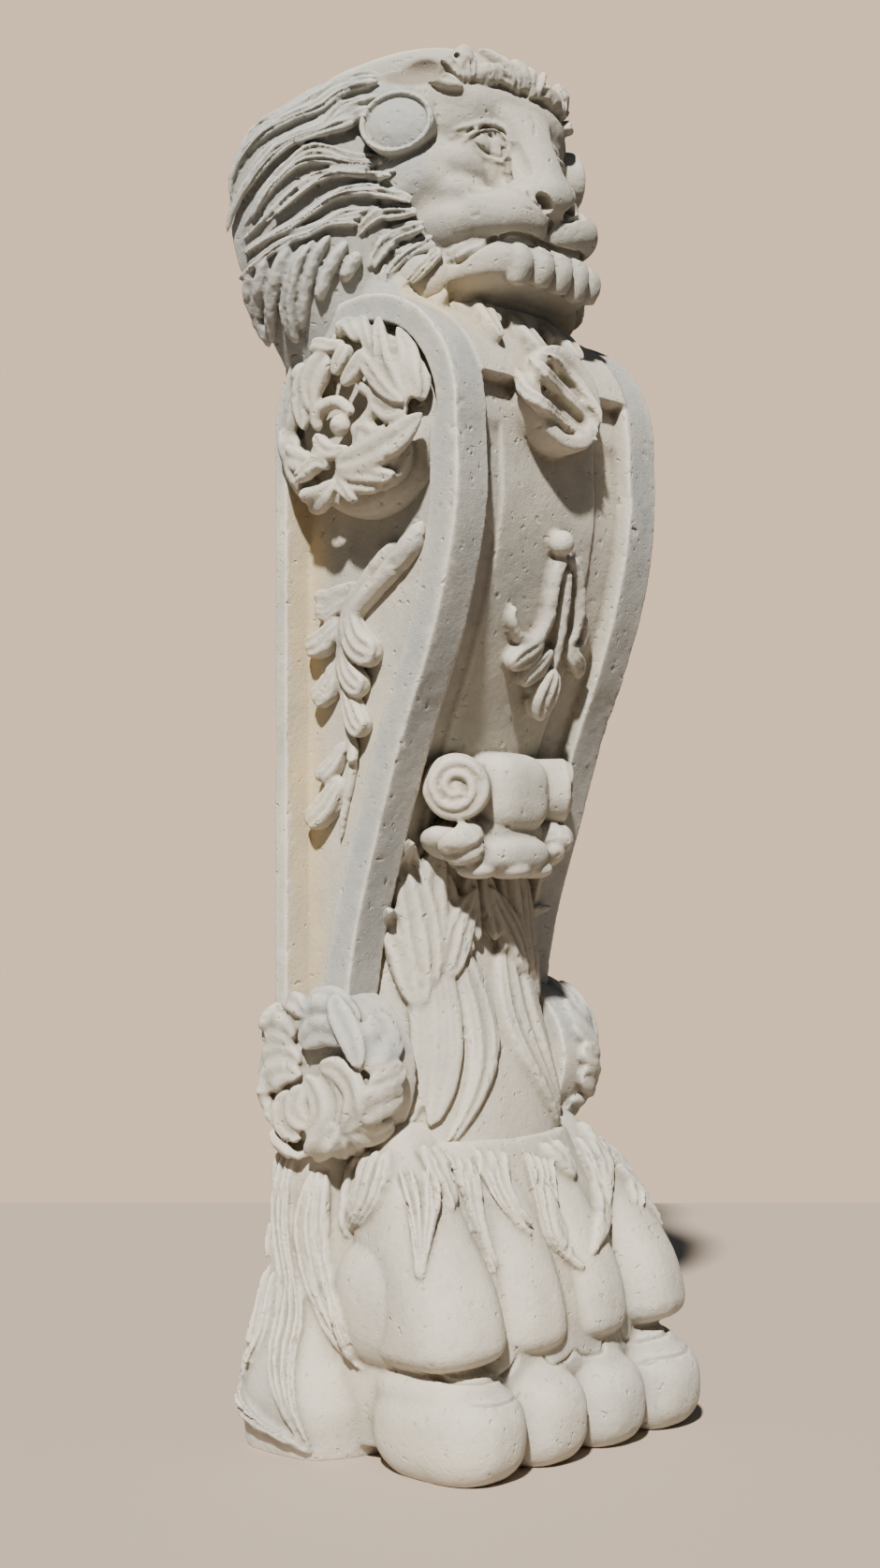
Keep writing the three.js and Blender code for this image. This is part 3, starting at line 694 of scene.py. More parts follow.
# %% Leaves of the wreaths, as they lie in the photograph
UPPER_LEAVES_PX = [
    ([[302, 452], [300, 474], [308, 500], [322, 528]], 20, -6), ([[436, 470], [424, 500], [400, 526]], 18, -9),
    ([[438, 434], [426, 408], [414, 378], [404, 343]], 24, 3), ([[446, 428], [441, 402], [434, 376], [424, 354]], 22, 0),
    ([[450, 430], [451, 410], [447, 396], [441, 383]], 18, -2), ([[404, 384], [393, 362], [387, 344], [389, 328]], 15, -1),
    ([[386, 366], [376, 351], [361, 346], [338, 360]], 18, 1), ([[370, 366], [354, 372], [341, 375], [326, 390]], 15, 2),
    ([[376, 368], [370, 384], [363, 402]], 18, 3), ([[396, 374], [388, 394], [373, 414]], 20, 5),
    ([[392, 380], [403, 394], [418, 414], [438, 434]], 20, 6), ([[438, 436], [424, 440], [412, 434], [401, 424]], 24, 2),
    ([[356, 380], [345, 394], [338, 416], [341, 440]], 30, 3), ([[338, 388], [328, 408], [326, 436], [330, 462]], 22, 1),
    ([[326, 402], [314, 420], [303, 448], [297, 480]], 26, -2), ([[320, 384], [310, 400], [304, 420]], 18, -4),
    ([[364, 498], [392, 490], [422, 474], [450, 440]], 34, 4), ([[362, 504], [386, 507], [406, 508], [426, 504]], 19, 2),
    ([[362, 508], [380, 518], [398, 520], [412, 514]], 14, -1), ([[360, 508], [370, 522], [386, 534]], 15, 0),
    ([[320, 508], [333, 530], [350, 530], [364, 514]], 28, 2), ([[356, 502], [346, 494], [332, 506], [320, 510]], 17, 4),
    ([[340, 496], [325, 494], [313, 482], [305, 466]], 24, 1), ([[304, 482], [306, 506], [318, 530], [340, 548]], 24, -5),
    ([[384, 476], [390, 462], [406, 468], [416, 456]], 24, 2), ([[342, 464], [350, 478], [362, 484], [378, 478]], 18, 3),
]
LOWER_LEAVES_PX = [
    ([[332, 1082], [318, 1072], [302, 1066]], 20, 2), ([[384, 1094], [364, 1070], [346, 1061], [329, 1064]], 24, 0),
    ([[386, 1142], [378, 1112], [367, 1088], [357, 1067]], 24, 4), ([[386, 1142], [396, 1120], [409, 1100], [400, 1082]], 40, 0),
    ([[390, 1144], [406, 1134], [420, 1120], [427, 1108]], 20, 0), ([[396, 1162], [408, 1153], [420, 1147], [430, 1138]], 24, 2),
    ([[378, 1194], [394, 1181], [410, 1174], [429, 1168]], 34, 2), ([[372, 1202], [388, 1210], [404, 1210], [422, 1200]], 32, 0),
    ([[372, 1200], [374, 1218], [382, 1230], [396, 1238]], 18, -2), ([[364, 1204], [350, 1214], [340, 1226], [334, 1238]], 28, 1),
    ([[366, 1206], [363, 1222], [366, 1240]], 18, 0), ([[342, 1138], [364, 1142], [379, 1162], [380, 1188], [366, 1208]], 26, 2),
    ([[342, 1146], [356, 1162], [361, 1184], [350, 1208]], 24, 0), ([[328, 1148], [342, 1168], [344, 1192], [330, 1212]], 24, 3),
    ([[316, 1166], [304, 1182], [308, 1202], [324, 1216]], 24, 3), ([[330, 1160], [322, 1176], [324, 1192], [334, 1200]], 26, 5),
    ([[322, 1148], [302, 1144], [287, 1156], [281, 1180], [296, 1208]], 28, 1), ([[320, 1134], [304, 1125], [288, 1130], [279, 1150]], 26, 0),
    ([[314, 1112], [302, 1098], [287, 1099], [276, 1112]], 30, 1), ([[374, 1112], [352, 1100], [336, 1104], [325, 1116]], 28, 3),
    ([[366, 1096], [346, 1082], [324, 1084], [310, 1096]], 28, 0), ([[300, 1080], [286, 1084], [276, 1098]], 24, -3),
    ([[280, 1180], [284, 1204], [304, 1222], [330, 1226]], 22, -5),
]
UPPER_CURLS_PX = [
    ([[344, 462], [341, 446], [352, 433], [368, 431], [381, 444]], 14),
    ([[384, 414], [400, 418], [404, 434], [394, 450], [376, 462]], 17),
]
rosettes = [drum(UPPER_ROSETTE, 84, 137), drum(LOWER_ROSETTE, 75, 151)]
upper_bed = surface_of([drum(UPPER_ROSETTE, 87, 148)])
lower_bed = surface_of([drum(LOWER_ROSETTE, 78, 158)])
for line, width, lift in UPPER_LEAVES_PX:
    rosettes += drawn_leaf(line, upper_bed, width, 15, ribs=2, curl=3, lift=lift, peak=0.45, tip=0.65)
for line, width, lift in LOWER_LEAVES_PX:
    rosettes += drawn_leaf(line, lower_bed, width * 1.1, 13, ribs=2, lift=lift * 1.5 - 3, peak=0.5, tip=0.45)
for line, width in UPPER_CURLS_PX:
    places, normals = cast(smooth_line(line, 12), upper_bed)
    rosettes.append(lock(places + normals * 3, normals, width, 16, peak=0.3, tip=0.3))
rosettes.append(ball(-150, 98, 906, [9, 10, 10]))
print("rosette bodies", len(rosettes))

# %% [markdown]
# ## The husk drop in the side panel
# A stem leaves the front border under the rosette and hangs down the panel, with curled husks to the left
# and right that get smaller. Each husk is a ribbed leaf whose tip lifts clear of the panel.

# %% Stem and husks
STEM_PX = [
    ([[454, 556], [440, 586], [420, 610], [398, 634], [382, 656], [374, 690], [374, 730], [378, 770]], 23),
    ([[428, 578], [410, 602], [392, 624], [378, 648], [370, 680], [368, 720], [372, 760]], 17),
    ([[374, 760], [380, 800], [378, 830], [370, 870], [366, 900]], 10),
]
HUSKS_PX = [
    ([[388, 622], [370, 630], [356, 638], [345, 636]], 15, 14),
    ([[380, 636], [366, 648], [354, 656], [346, 650]], 17, 16),
    ([[370, 664], [360, 676], [350, 688], [339, 694]], 26, 22),
    ([[366, 706], [360, 724], [354, 740], [345, 750]], 24, 20),
    ([[374, 790], [366, 808], [358, 822], [349, 832]], 20, 18),
    ([[372, 830], [362, 848], [352, 866], [340, 880]], 26, 22),
    ([[378, 646], [382, 672], [394, 692], [412, 700]], 32, 24),
    ([[372, 690], [376, 712], [386, 728], [398, 736]], 26, 20),
    ([[374, 732], [380, 752], [388, 770], [398, 782]], 26, 20),
    ([[378, 776], [380, 792], [382, 804], [384, 816]], 12, 10),
]
side_panel = surface_of([slab(console_line(0, 0, 0), -100, -RECESS_FLOOR)])
spray = []
for line, width in STEM_PX:
    places, normals = cast(smooth_line(line, 10), side_panel)
    spray.append(lock(places + normals * 3, normals, width, width * 1.1, peak=0.15, tip=0.5, rows=24))
for line, width, thick in HUSKS_PX:
    spray += drawn_leaf(line, side_panel, width, thick, ribs=3, curl=7, lift=2, peak=0.7, tip=0.34)
print("spray bodies", len(spray))

# %% [markdown]
# ## The leg
# Below the lip the leg is clasped by tall leaves and long folds that sweep down to the ankle. The centre of
# the shin between them stays smooth and swells a little.

# %% Shin and sweeping folds
SHIN = [
    [252, 112, -20, 180], [285, 106, -20, 176], [330, 100, -20, 166], [400, 99, -20, 142],
    [480, 97, -20, 122], [560, 84, -20, 118],
]
leg = [column(SHIN, square=2.4)]
shin = surface_of(leg + both(cheek))
FOLDS_PX = [
    ([[[411, 978], [420, 1006], [434, 1050], [441, 1100], [438, 1150], [428, 1188], [416, 1212]],
      [[440, 975], [448, 1010], [455, 1060], [460, 1110], [457, 1150], [448, 1190], [430, 1214]]], 2, 2, 12),
    ([[[446, 975], [452, 1010], [458, 1060], [462, 1110], [460, 1150], [456, 1190], [458, 1206]],
      [[478, 1000], [480, 1050], [488, 1100], [488, 1145], [478, 1180], [464, 1204]]], 2, 2, 14),
    ([[[480, 1006], [490, 1060], [499, 1105], [500, 1150], [488, 1192], [470, 1226]],
      [[492, 1004], [514, 1050], [528, 1100], [527, 1140], [510, 1184], [484, 1226]]], 2, 3, 10),
]
folds = []
for guides, count, strands, width in FOLDS_PX:
    folds += tresses(guides, count, strands, width, 13, shin, dome=4, lift=1, short=0.04)
CLASP_PX = [
    ([[448, 1080], [438, 1030], [424, 996], [407, 966]], 40, 24, 3),
    ([[456, 1060], [446, 1000], [436, 940], [430, 892]], 44, 30, 3),
    ([[462, 1050], [458, 990], [458, 930], [463, 898]], 34, 26, 2),
    ([[474, 1050], [480, 1006], [488, 976], [498, 948]], 36, 26, 3),
    ([[512, 930], [516, 960], [520, 985], [522, 1008]], 24, 18, 2),
    ([[530, 930], [532, 960], [531, 990], [530, 1019]], 24, 18, 2),
    ([[548, 930], [551, 960], [554, 985], [556, 1006]], 22, 18, 2),
]
for line, width, thick, ribs in CLASP_PX:
    folds += drawn_leaf(line, shin, width, thick, ribs=ribs, curl=6, lift=2, peak=0.35, tip=0.8)
leg += both(folds)
print("leg bodies", len(leg))

# %% [markdown]
# ## The paw
# Four toes stand on the ground. Each has a ball below and a swollen knuckle above it, parted by a double
# crease, and the knuckles run back and up to the ankle. The heel is a plain block behind, with hair.

# %% Toes, knuckles and heel
TOE_SPACING, TOE_F, TOE_Z = 83, 205, 38
KNUCKLE_Z, ANKLE_Z = 130, 268
INSTEP = [
    [12, 148, -20, 200], [60, 156, -20, 238], [110, 152, -20, 240], [150, 146, -20, 231],
    [200, 134, -20, 213], [250, 114, -20, 190], [274, 106, -20, 179],
]
HEEL = [
    [-12, 182, -20, 118], [8, 190, -20, 125], [42, 195, -20, 128], [72, 188, -20, 120], [100, 174, -20, 104],
    [160, 152, -20, 92], [262, 142, -20, 84], [300, 128, -20, 80],
]
toes, knuckles = [], []
for side in (-1.5, -0.5, 0.5, 1.5):
    x = side * TOE_SPACING
    outer = abs(side) > 1
    back = 20 if outer else 0
    toes.append(ball(x, TOE_F, TOE_Z, [47 if outer else 45, 70, 46], square=2.7, sides=48, rings=32))
    toes.append(ball(x, TOE_F - 12, TOE_Z + 30, [41, 62, 26], square=2.3, sides=48))
    bone = [
        at(x, TOE_F - 5 - back / 6, KNUCKLE_Z - 47),
        at(x, TOE_F - 10 - back / 3, KNUCKLE_Z),
        at(x * 0.93, TOE_F - 34 - back, KNUCKLE_Z + 60),
        at(x * 0.7, TOE_F - 80 - back, ANKLE_Z + 20),
    ]
    facing = np.array([x / 700, -1, 0.25])
    width, thick = (94, 122) if outer else (86, 106)
    knuckles.append(lock(bone, facing, width, thick, peak=0.2, tip=0.3, square=2.7, sides=40, rows=40))
knuckles += both([ball(-122, 146, KNUCKLE_Z + 8, [50, 62, 62], square=2.4)])
paw = [melt([column(INSTEP, square=3), column(HEEL, square=3.6)] + toes, voxel=2.6, smoothing=7)] + knuckles
hide = surface_of(paw)

# %% Tufts over the paw and hair down the heel
TUFTS_PX = [
    ([[384, 1232], [374, 1262], [368, 1292], [366, 1322]], [[420, 1226], [414, 1262], [400, 1292], [370, 1325]], 4),
    ([[420, 1248], [434, 1286], [442, 1324], [446, 1366]], [[470, 1248], [468, 1290], [460, 1324], [453, 1366]], 4),
    ([[440, 1222], [452, 1246], [466, 1270], [486, 1299]], [[470, 1226], [478, 1250], [486, 1274], [491, 1303]], 2),
    ([[474, 1232], [490, 1272], [510, 1324], [530, 1369]], [[512, 1240], [512, 1284], [520, 1326], [537, 1366]], 4),
    ([[500, 1226], [516, 1262], [538, 1296], [566, 1321]], [[540, 1230], [540, 1262], [552, 1292], [573, 1316]], 3),
    ([[556, 1226], [570, 1280], [586, 1330], [622, 1357]], [[590, 1240], [590, 1286], [600, 1326], [627, 1352]], 4),
    ([[570, 1222], [586, 1240], [600, 1250], [612, 1259]], [[596, 1216], [604, 1232], [610, 1246], [616, 1256]], 2),
    ([[610, 1215], [630, 1252], [634, 1300], [630, 1339]], [[640, 1215], [650, 1252], [648, 1300], [637, 1340]], 3),
    ([[640, 1212], [656, 1245], [670, 1272], [684, 1299]], [[656, 1206], [670, 1238], [680, 1268], [689, 1296]], 2),
]
tufts = []
for upper, lower, count in TUFTS_PX:
    tufts += bundle(upper, lower, count, 16, hide, lift=3, tilt=1, tip=0.5)
HEEL_HAIR_PX = [
    ([[296, 1225], [290, 1290], [300, 1350], [298, 1400], [288, 1450], [298, 1500], [322, 1548]],
     [[322, 1225], [314, 1290], [318, 1350], [328, 1400], [318, 1450], [318, 1500], [334, 1546]], 4),
    ([[330, 1250], [318, 1310], [328, 1370], [350, 1420], [380, 1462]],
     [[352, 1250], [350, 1320], [362, 1380], [374, 1430], [388, 1462]], 3),
    ([[280, 1230], [278, 1270], [280, 1310], [284, 1345]], [[296, 1230], [296, 1270], [296, 1310], [292, 1345]], 2),
    ([[276, 1350], [262, 1420], [246, 1478], [262, 1512], [300, 1535], [330, 1552]],
     [[300, 1350], [290, 1420], [262, 1478], [282, 1512], [312, 1532], [336, 1548]], 3),
]
for upper, lower, count in HEEL_HAIR_PX:
    tufts += bundle(upper, lower, count, 16, hide, lift=2, tilt=3, tip=0.5)
paw_partings = list(partings_px)
partings_px.clear()
outer_tufts = [body for body in tufts if body[0][:, 0].mean() < -100]
paw += tufts + both(outer_tufts)[len(outer_tufts):]
print("paw bodies", len(paw))

# %% [markdown]
# ## The face
# The lion's face is a broad block. Brow, nose, cheeks, muzzle and the jutting ribbed jaw are lumps laid on
# it, each ear is a turned dish, and lids, mouth and nostrils are cut afterwards.

# %% Lumps of the face
FACE = [
    [972, 86, -20, 172], [1020, 94, -20, 174], [1060, 102, -20, 174], [1110, 110, -20, 168],
    [1140, 112, -20, 165], [1160, 110, -20, 168], [1176, 107, -20, 177], [1192, 104, -20, 181],
    [1212, 101, -20, 179], [1230, 97, -20, 170], [1246, 90, -20, 156],
]
NOSE = [
    [1094, 22, 130, 212], [1100, 30, 130, 223], [1111, 35, 130, 230], [1122, 34, 130, 230], [1138, 28, 130, 222],
    [1156, 26, 130, 214], [1172, 29, 130, 205], [1190, 42, 130, 194], [1208, 60, 130, 180],
]
JAW_HALF_WIDTH, JAW_F, JAW_DEPTH = 84, 144, 78
JAW = [
    [1006, 50, 70, 128], [1016, 66, 64, 146], [1026, 78, 62, 172], [1036, JAW_HALF_WIDTH, 62, 212],
    [1048, JAW_HALF_WIDTH, 62, 222], [1060, 82, 62, 221], [1068, 74, 66, 210],
]
soft_face = [column(FACE, square=3), column(NOSE, square=2.5, sides=48)]
soft_face.append(ball(0, 116, 1200, [98, 68, 30], square=2.6, sides=64, rings=32))
soft_face += both([
    ball(-52, 152, 1160, [26, 18, 18], turn=(0, 0.3, 0)),
    ball(-58, 150, 1138, [38, 30, 22], turn=(0, 0.2, 0.3)),
    ball(-62, 146, 1114, [38, 38, 24]),
    ball(-31, 166, 1152, [18, 18, 34]),
    ball(-82, 128, 1128, [34, 44, 48], turn=(0, 0, 0.3)),
    ball(-35, 166, 1092, [46, 60, 28], turn=(0, 0.1, 0), square=2.4),
    ball(-70, 140, 1088, [34, 48, 26], turn=(0, 0.3, 0)),
    ball(-26, 200, 1111, [16, 21, 13]),
])
soft_face += [column(JAW, square=3, sides=96)] + both([ball(-88, 134, 1036, [22, 34, 26])])
face = [melt(soft_face, voxel=2.2, smoothing=10)]
face += both([ball(-49, 162, 1160, [20, 19, 14], turn=(0, 0.4, 0))])
eye_bed = surface_of(face)
LIDS_PX = [
    ([[494, 151], [502, 145], [512, 140], [526, 138], [537, 142], [543, 152], [544, 165]], 6, 8, 0.5),
    ([[499, 152], [508, 162], [521, 169], [539, 174]], 5.5, 7, 0),
    ([[482, 139], [500, 134], [520, 131], [535, 134], [544, 143], [549, 156]], 6.5, 8, 0),
]
for line, width, thick, lift in LIDS_PX:
    places, normals = cast(smooth_line(line, 14), eye_bed)
    face += both([lock(places + normals * lift, normals, width, thick, peak=0.4, tip=0.4, rows=30)])
RIBS, RIB_SPACING, RIB_MIDDLE = 5, 25, 5.5
for i in range(RIBS):
    x = RIB_MIDDLE + (i - (RIBS - 1) / 2) * RIB_SPACING
    jaw_front = JAW_F + JAW_DEPTH * (1 - (abs(x) / JAW_HALF_WIDTH) ** 3) ** (1 / 3)
    drop = dice.uniform(-3, 3)
    rib = [at(x, jaw_front - 9, 1066), at(x, jaw_front - 2, 1050), at(x, jaw_front - 8, 1029 + drop)]
    face.append(lock(rib, FRONT, RIB_SPACING - 1, 22, peak=0.5, tip=0.2, square=2.4, sides=16))
EAR_PROFILE = [
    [0, -30], [30, -30], [33, -8], [34, 0], [33.5, 3.5], [31.5, 5], [29.5, 3], [28.5, -2], [25, 1], [14, 5], [0, 6.5],
]
EAR_PLACE, EAR_AXIS = at(-117, 135, 1172), [-1, -0.48, 0.12]
face += both([disc(EAR_PROFILE, EAR_PLACE, EAR_AXIS, sides=64, stretch=(1, 1.0, 0.84))])
face_skin = surface_of(face)
print("face bodies", len(face))

# %% [markdown]
# ## The mane
# The mane streams back from the face to the flat back and down over the console. Its mass is lofted between
# the hairline beside the face and the mane's outline at the back; bundles of strands are laid over that.

# %% The mane's mass
HAIRLINE = [
    [-40, 148, 1232], [-98, 112, 1222], [-128, 96, 1186], [-122, 112, 1130], [-108, 124, 1080],
    [-98, 126, 1030], [-84, 120, 1000],
]
MANE_RIM = [
    [-76, 4, 1238], [-150, 4, 1193], [-193, 4, 1154], [-201, 4, 1106], [-192, 4, 1062],
    [-168, 6, 1016], [-132, 14, 958],
]
MANE_CORE = at(0, 20, 1106)
MANE_BULGE = 26
hair_edge = smooth_line(at(*np.array(HAIRLINE, float).T), 40)
rim_edge = smooth_line(at(*np.array(MANE_RIM, float).T), 40)
mane_loops = []
for v in np.linspace(0, 1, 14):
    loop = hair_edge + (rim_edge - hair_edge) * v
    out = (loop - MANE_CORE) * [1, 0.6, 1]
    out /= np.linalg.norm(out, axis=1, keepdims=True)
    loop = loop + out * (MANE_BULGE * sin(pi * v) - 8 * (1 - v) - 4)
    mane_loops.append(np.vstack([loop, (loop * [-1, 1, 1])[::-1]]))
mane = [loft(np.array(mane_loops)), ball(0, 82, 1197, [127, 90, 44], square=2.6)]
mane += both([ball(-118, 36, 948, [18, 34, 44], square=3), ball(-92, 92, 1010, [34, 60, 44], square=2.4)])
mane.append(slab([[-8, 880], [34, 880], [60, 990], [-8, 990]], -124, 124))
mass = surface_of(mane + face)

# %% Strands over the mane, drawn from the crown down to the beard
BUNDLES_PX = [
    ([[404, 76], [380, 80], [356, 90], [338, 102], [312, 116], [286, 126], [264, 144], [246, 174], [241, 205]],
     [[410, 92], [384, 98], [362, 104], [344, 120], [318, 128], [294, 142], [272, 160], [256, 186], [244, 226]], 3, 5),
    ([[408, 98], [386, 104], [364, 112], [346, 130], [320, 140], [298, 150], [276, 168], [258, 196], [244, 236]],
     [[384, 128], [370, 140], [350, 146], [330, 148], [306, 158], [288, 176], [268, 204], [254, 232], [246, 254]], 3, 9),
    ([[416, 166], [396, 168], [372, 166], [352, 158], [332, 156], [312, 170], [294, 186], [276, 212], [260, 246]],
     [[412, 176], [390, 180], [366, 178], [340, 176], [318, 180], [298, 196], [280, 220], [266, 246], [256, 258]], 3, 6),
    ([[430, 178], [408, 184], [384, 182], [360, 182], [334, 186], [312, 198], [292, 220], [276, 240], [258, 258]],
     [[424, 190], [404, 194], [384, 192], [362, 190], [344, 196], [322, 212], [300, 230], [280, 246], [260, 260]], 2, 9),
    ([[446, 212], [426, 202], [404, 198], [380, 198], [356, 206], [334, 222], [310, 238], [286, 250], [262, 266]],
     [[442, 218], [418, 212], [400, 211], [378, 212], [356, 215], [334, 229], [310, 245], [284, 259], [254, 280]], 2, 8),
    ([[402, 220], [384, 224], [364, 228], [344, 238], [322, 246], [300, 252], [280, 266], [262, 282], [252, 292]],
     [[378, 246], [364, 242], [346, 242], [328, 252], [310, 258], [290, 272], [274, 286], [262, 296], [256, 302]], 3, 6),
    ([[446, 222], [420, 220], [400, 222], [384, 236], [376, 258]],
     [[450, 231], [424, 233], [404, 239], [388, 251], [378, 262]], 2, 5),
    ([[454, 234], [430, 240], [410, 248], [397, 264], [391, 284]],
     [[458, 243], [438, 252], [420, 264], [406, 280], [396, 298]], 2, 6),
    ([[462, 249], [444, 258], [428, 268], [412, 284], [402, 298]],
     [[468, 258], [452, 269], [436, 281], [424, 293], [412, 304]], 2, 5),
    ([[470, 262], [458, 274], [446, 287], [436, 298], [428, 304]],
     [[472, 272], [464, 284], [454, 295], [446, 302], [438, 308]], 2, 5),
]
HANGING_PX = [
    ([[262, 290], [262, 310], [266, 332], [274, 354], [284, 372]],
     [[296, 268], [290, 294], [285, 320], [284, 346], [287, 372]], 2, 6),
    ([[304, 260], [296, 284], [290, 308], [288, 332], [290, 358], [294, 384]],
     [[318, 262], [306, 288], [300, 312], [298, 336], [298, 358], [302, 384]], 1, 8),
    ([[322, 262], [310, 288], [306, 312], [304, 336], [310, 354], [318, 366]],
     [[342, 254], [326, 276], [320, 300], [318, 326], [319, 348], [322, 364]], 2, 7),
    ([[346, 252], [332, 274], [324, 300], [321, 326], [321, 342], [322, 358]],
     [[360, 250], [344, 274], [336, 298], [331, 318], [328, 338], [324, 356]], 1, 7),
    ([[364, 254], [350, 276], [342, 296], [338, 314], [340, 322]],
     [[376, 262], [360, 284], [351, 304], [346, 316], [342, 322]], 1, 6),
    ([[378, 264], [370, 276], [364, 290], [360, 300]],
     [[388, 276], [378, 288], [371, 299], [364, 306]], 1, 5),
]
strands = []
for upper, lower, count, tilt in BUNDLES_PX:
    strands += bundle(upper, lower, count, 13, mass, tilt=tilt)
mane_partings = list(partings_px)
for upper, lower, count, tilt in HANGING_PX:
    strands += bundle(upper, lower, count, 17, mass, lift=2, tilt=tilt, tip=0.4)
partings_px.clear()
BEARD_PX = [
    ([[436, 286], [446, 300], [454, 312], [461, 320]], 20), ([[462, 296], [470, 308], [476, 318], [481, 327]], 20),
    ([[470, 296], [490, 316], [512, 336], [532, 352]], 26), ([[496, 312], [508, 334], [520, 352], [532, 368]], 24),
    ([[540, 326], [556, 340], [574, 356], [588, 371]], 24), ([[520, 330], [544, 350], [566, 372], [584, 390]], 24),
    ([[556, 338], [580, 358], [604, 378], [616, 392]], 26),
]
beard_bed = surface_of(both(cheek) + plate)
beard = []
for line, width in BEARD_PX:
    beard += drawn_leaf(line, beard_bed, width, 18, ribs=2, lift=4, peak=0.35, tip=0.6)
beard.append(column([[968, 92, 40, 176], [1000, 88, 40, 182], [1020, 84, 40, 180]], square=2.6))
FANS_PX = [
    ([[494, 92], [476, 84], [460, 78], [444, 82], [426, 92]], [[496, 97], [474, 95], [452, 92], [434, 97], [418, 103]], 3),
    ([[495, 90], [486, 80], [474, 71], [462, 66]], [[496, 88], [492, 76], [488, 66], [482, 56]], 4),
    ([[497, 88], [494, 76], [491, 66], [488, 56]], [[500, 90], [504, 80], [508, 70], [514, 60]], 4),
    ([[553, 100], [536, 90], [518, 86], [502, 88]], [[555, 98], [540, 82], [524, 70], [508, 64]], 4),
    ([[556, 98], [542, 80], [528, 67], [514, 57]], [[560, 100], [558, 86], [554, 74], [548, 60]], 4),
    ([[562, 106], [560, 94], [562, 82], [566, 72]], [[566, 108], [572, 96], [580, 88], [588, 82]], 3),
    ([[590, 118], [580, 108], [572, 102], [566, 98]], [[602, 116], [604, 105], [600, 96], [592, 88]], 4),
]
crown = [column([[1214, 95, -20, 172], [1226, 99, -20, 177], [1240, 97, -20, 172], [1251, 88, -20, 158]], square=3.2)]
crown_skin = surface_of(crown + face)
for upper, lower, count in FANS_PX:
    crown += both(bundle(upper, lower, 2, 14, crown_skin, lift=3, tilt=1, tip=0.5, full=0.95))
partings_px.clear()
head_hair = mane + both(strands)
print("mane bodies", len(head_hair), "and beard", len(beard))

# %% [markdown]
# ## From bodies to carved pieces
# The casting is fused as a few pieces that meet in natural creases, so that each can be dense. They all ride
# on the one body and stand for the one solid.

# %% Fuse, chisel, weather and slim each piece
def soften(points, edges, passes):
    """Points drawn towards their neighbours' middle, several times over."""
    count = len(points)
    a, b = edges.T
    near = np.maximum(np.bincount(a, minlength=count) + np.bincount(b, minlength=count), 1)
    for _ in range(passes):
        total = [
            np.bincount(a, weights=points[b, k], minlength=count) + np.bincount(b, weights=points[a, k], minlength=count)
            for k in range(3)
        ]
        points = 0.4 * points + 0.6 * np.stack(total, axis=1) / near[:, None]
    return points


def relief(mesh, passes):
    """How far each point stands out of its surroundings, in millimetres; hollows are below zero."""
    points = read_points(mesh)
    away = points - soften(points, read_edges(mesh), passes)
    return (away * read_normals(mesh)).sum(axis=1)


LOST_PIECE = at(-126, 156, 1224)
LOST_SIZE = np.array([44, 42, 21.0])
LOST_WAY = np.array([0.9, 0.4, -0.1])


def lose(points):
    """Push the skin inward out of the round scoop that has broken from the crown on the left."""
    from_lost = (points - LOST_PIECE) / LOST_SIZE
    inside = (from_lost**2).sum(axis=1) < 1
    way = LOST_WAY / LOST_SIZE
    start = from_lost[inside]
    along = start @ way
    square = way @ way
    reach = (-along + np.sqrt(along**2 + square * (1 - (start**2).sum(axis=1)))) / square
    points[inside] += LOST_WAY * reach[:, None]


def weather(piece, chips=1.0):
    """Age: a slow waviness, sandy lumps, chipped edges, air holes and the piece lost from the crown."""
    mesh = piece.data
    points = read_points(mesh)
    normals = read_normals(mesh)
    edge = np.clip(relief(mesh, 4) / 0.5, 0, 1)
    wave = (cloud(points, 70) - 0.5) * 1.4 + (cloud(points + 400, 17) - 0.5) * 0.8
    sand = (cloud(points + 90, 4.5) - 0.5) * 0.35
    chip = np.clip(cloud(points + 700, 9) - 0.66, 0, 1) * 8 * edge * chips
    holes = np.clip(cloud(points + 1300, 6) - 0.89, 0, 1) * 18
    points += normals * (wave + sand - chip - holes)[:, None]
    lose(points)
    points[:, 0] = np.clip(points[:, 0], -HALF_WIDTH, HALF_WIDTH)
    points[:, 1] = np.minimum(points[:, 1], BACK_Y)
    points[:, 2] = np.clip(points[:, 2], 0, TOTAL_HEIGHT)
    mesh.vertices.foreach_set("co", (points * MM).ravel())
    mesh.update()


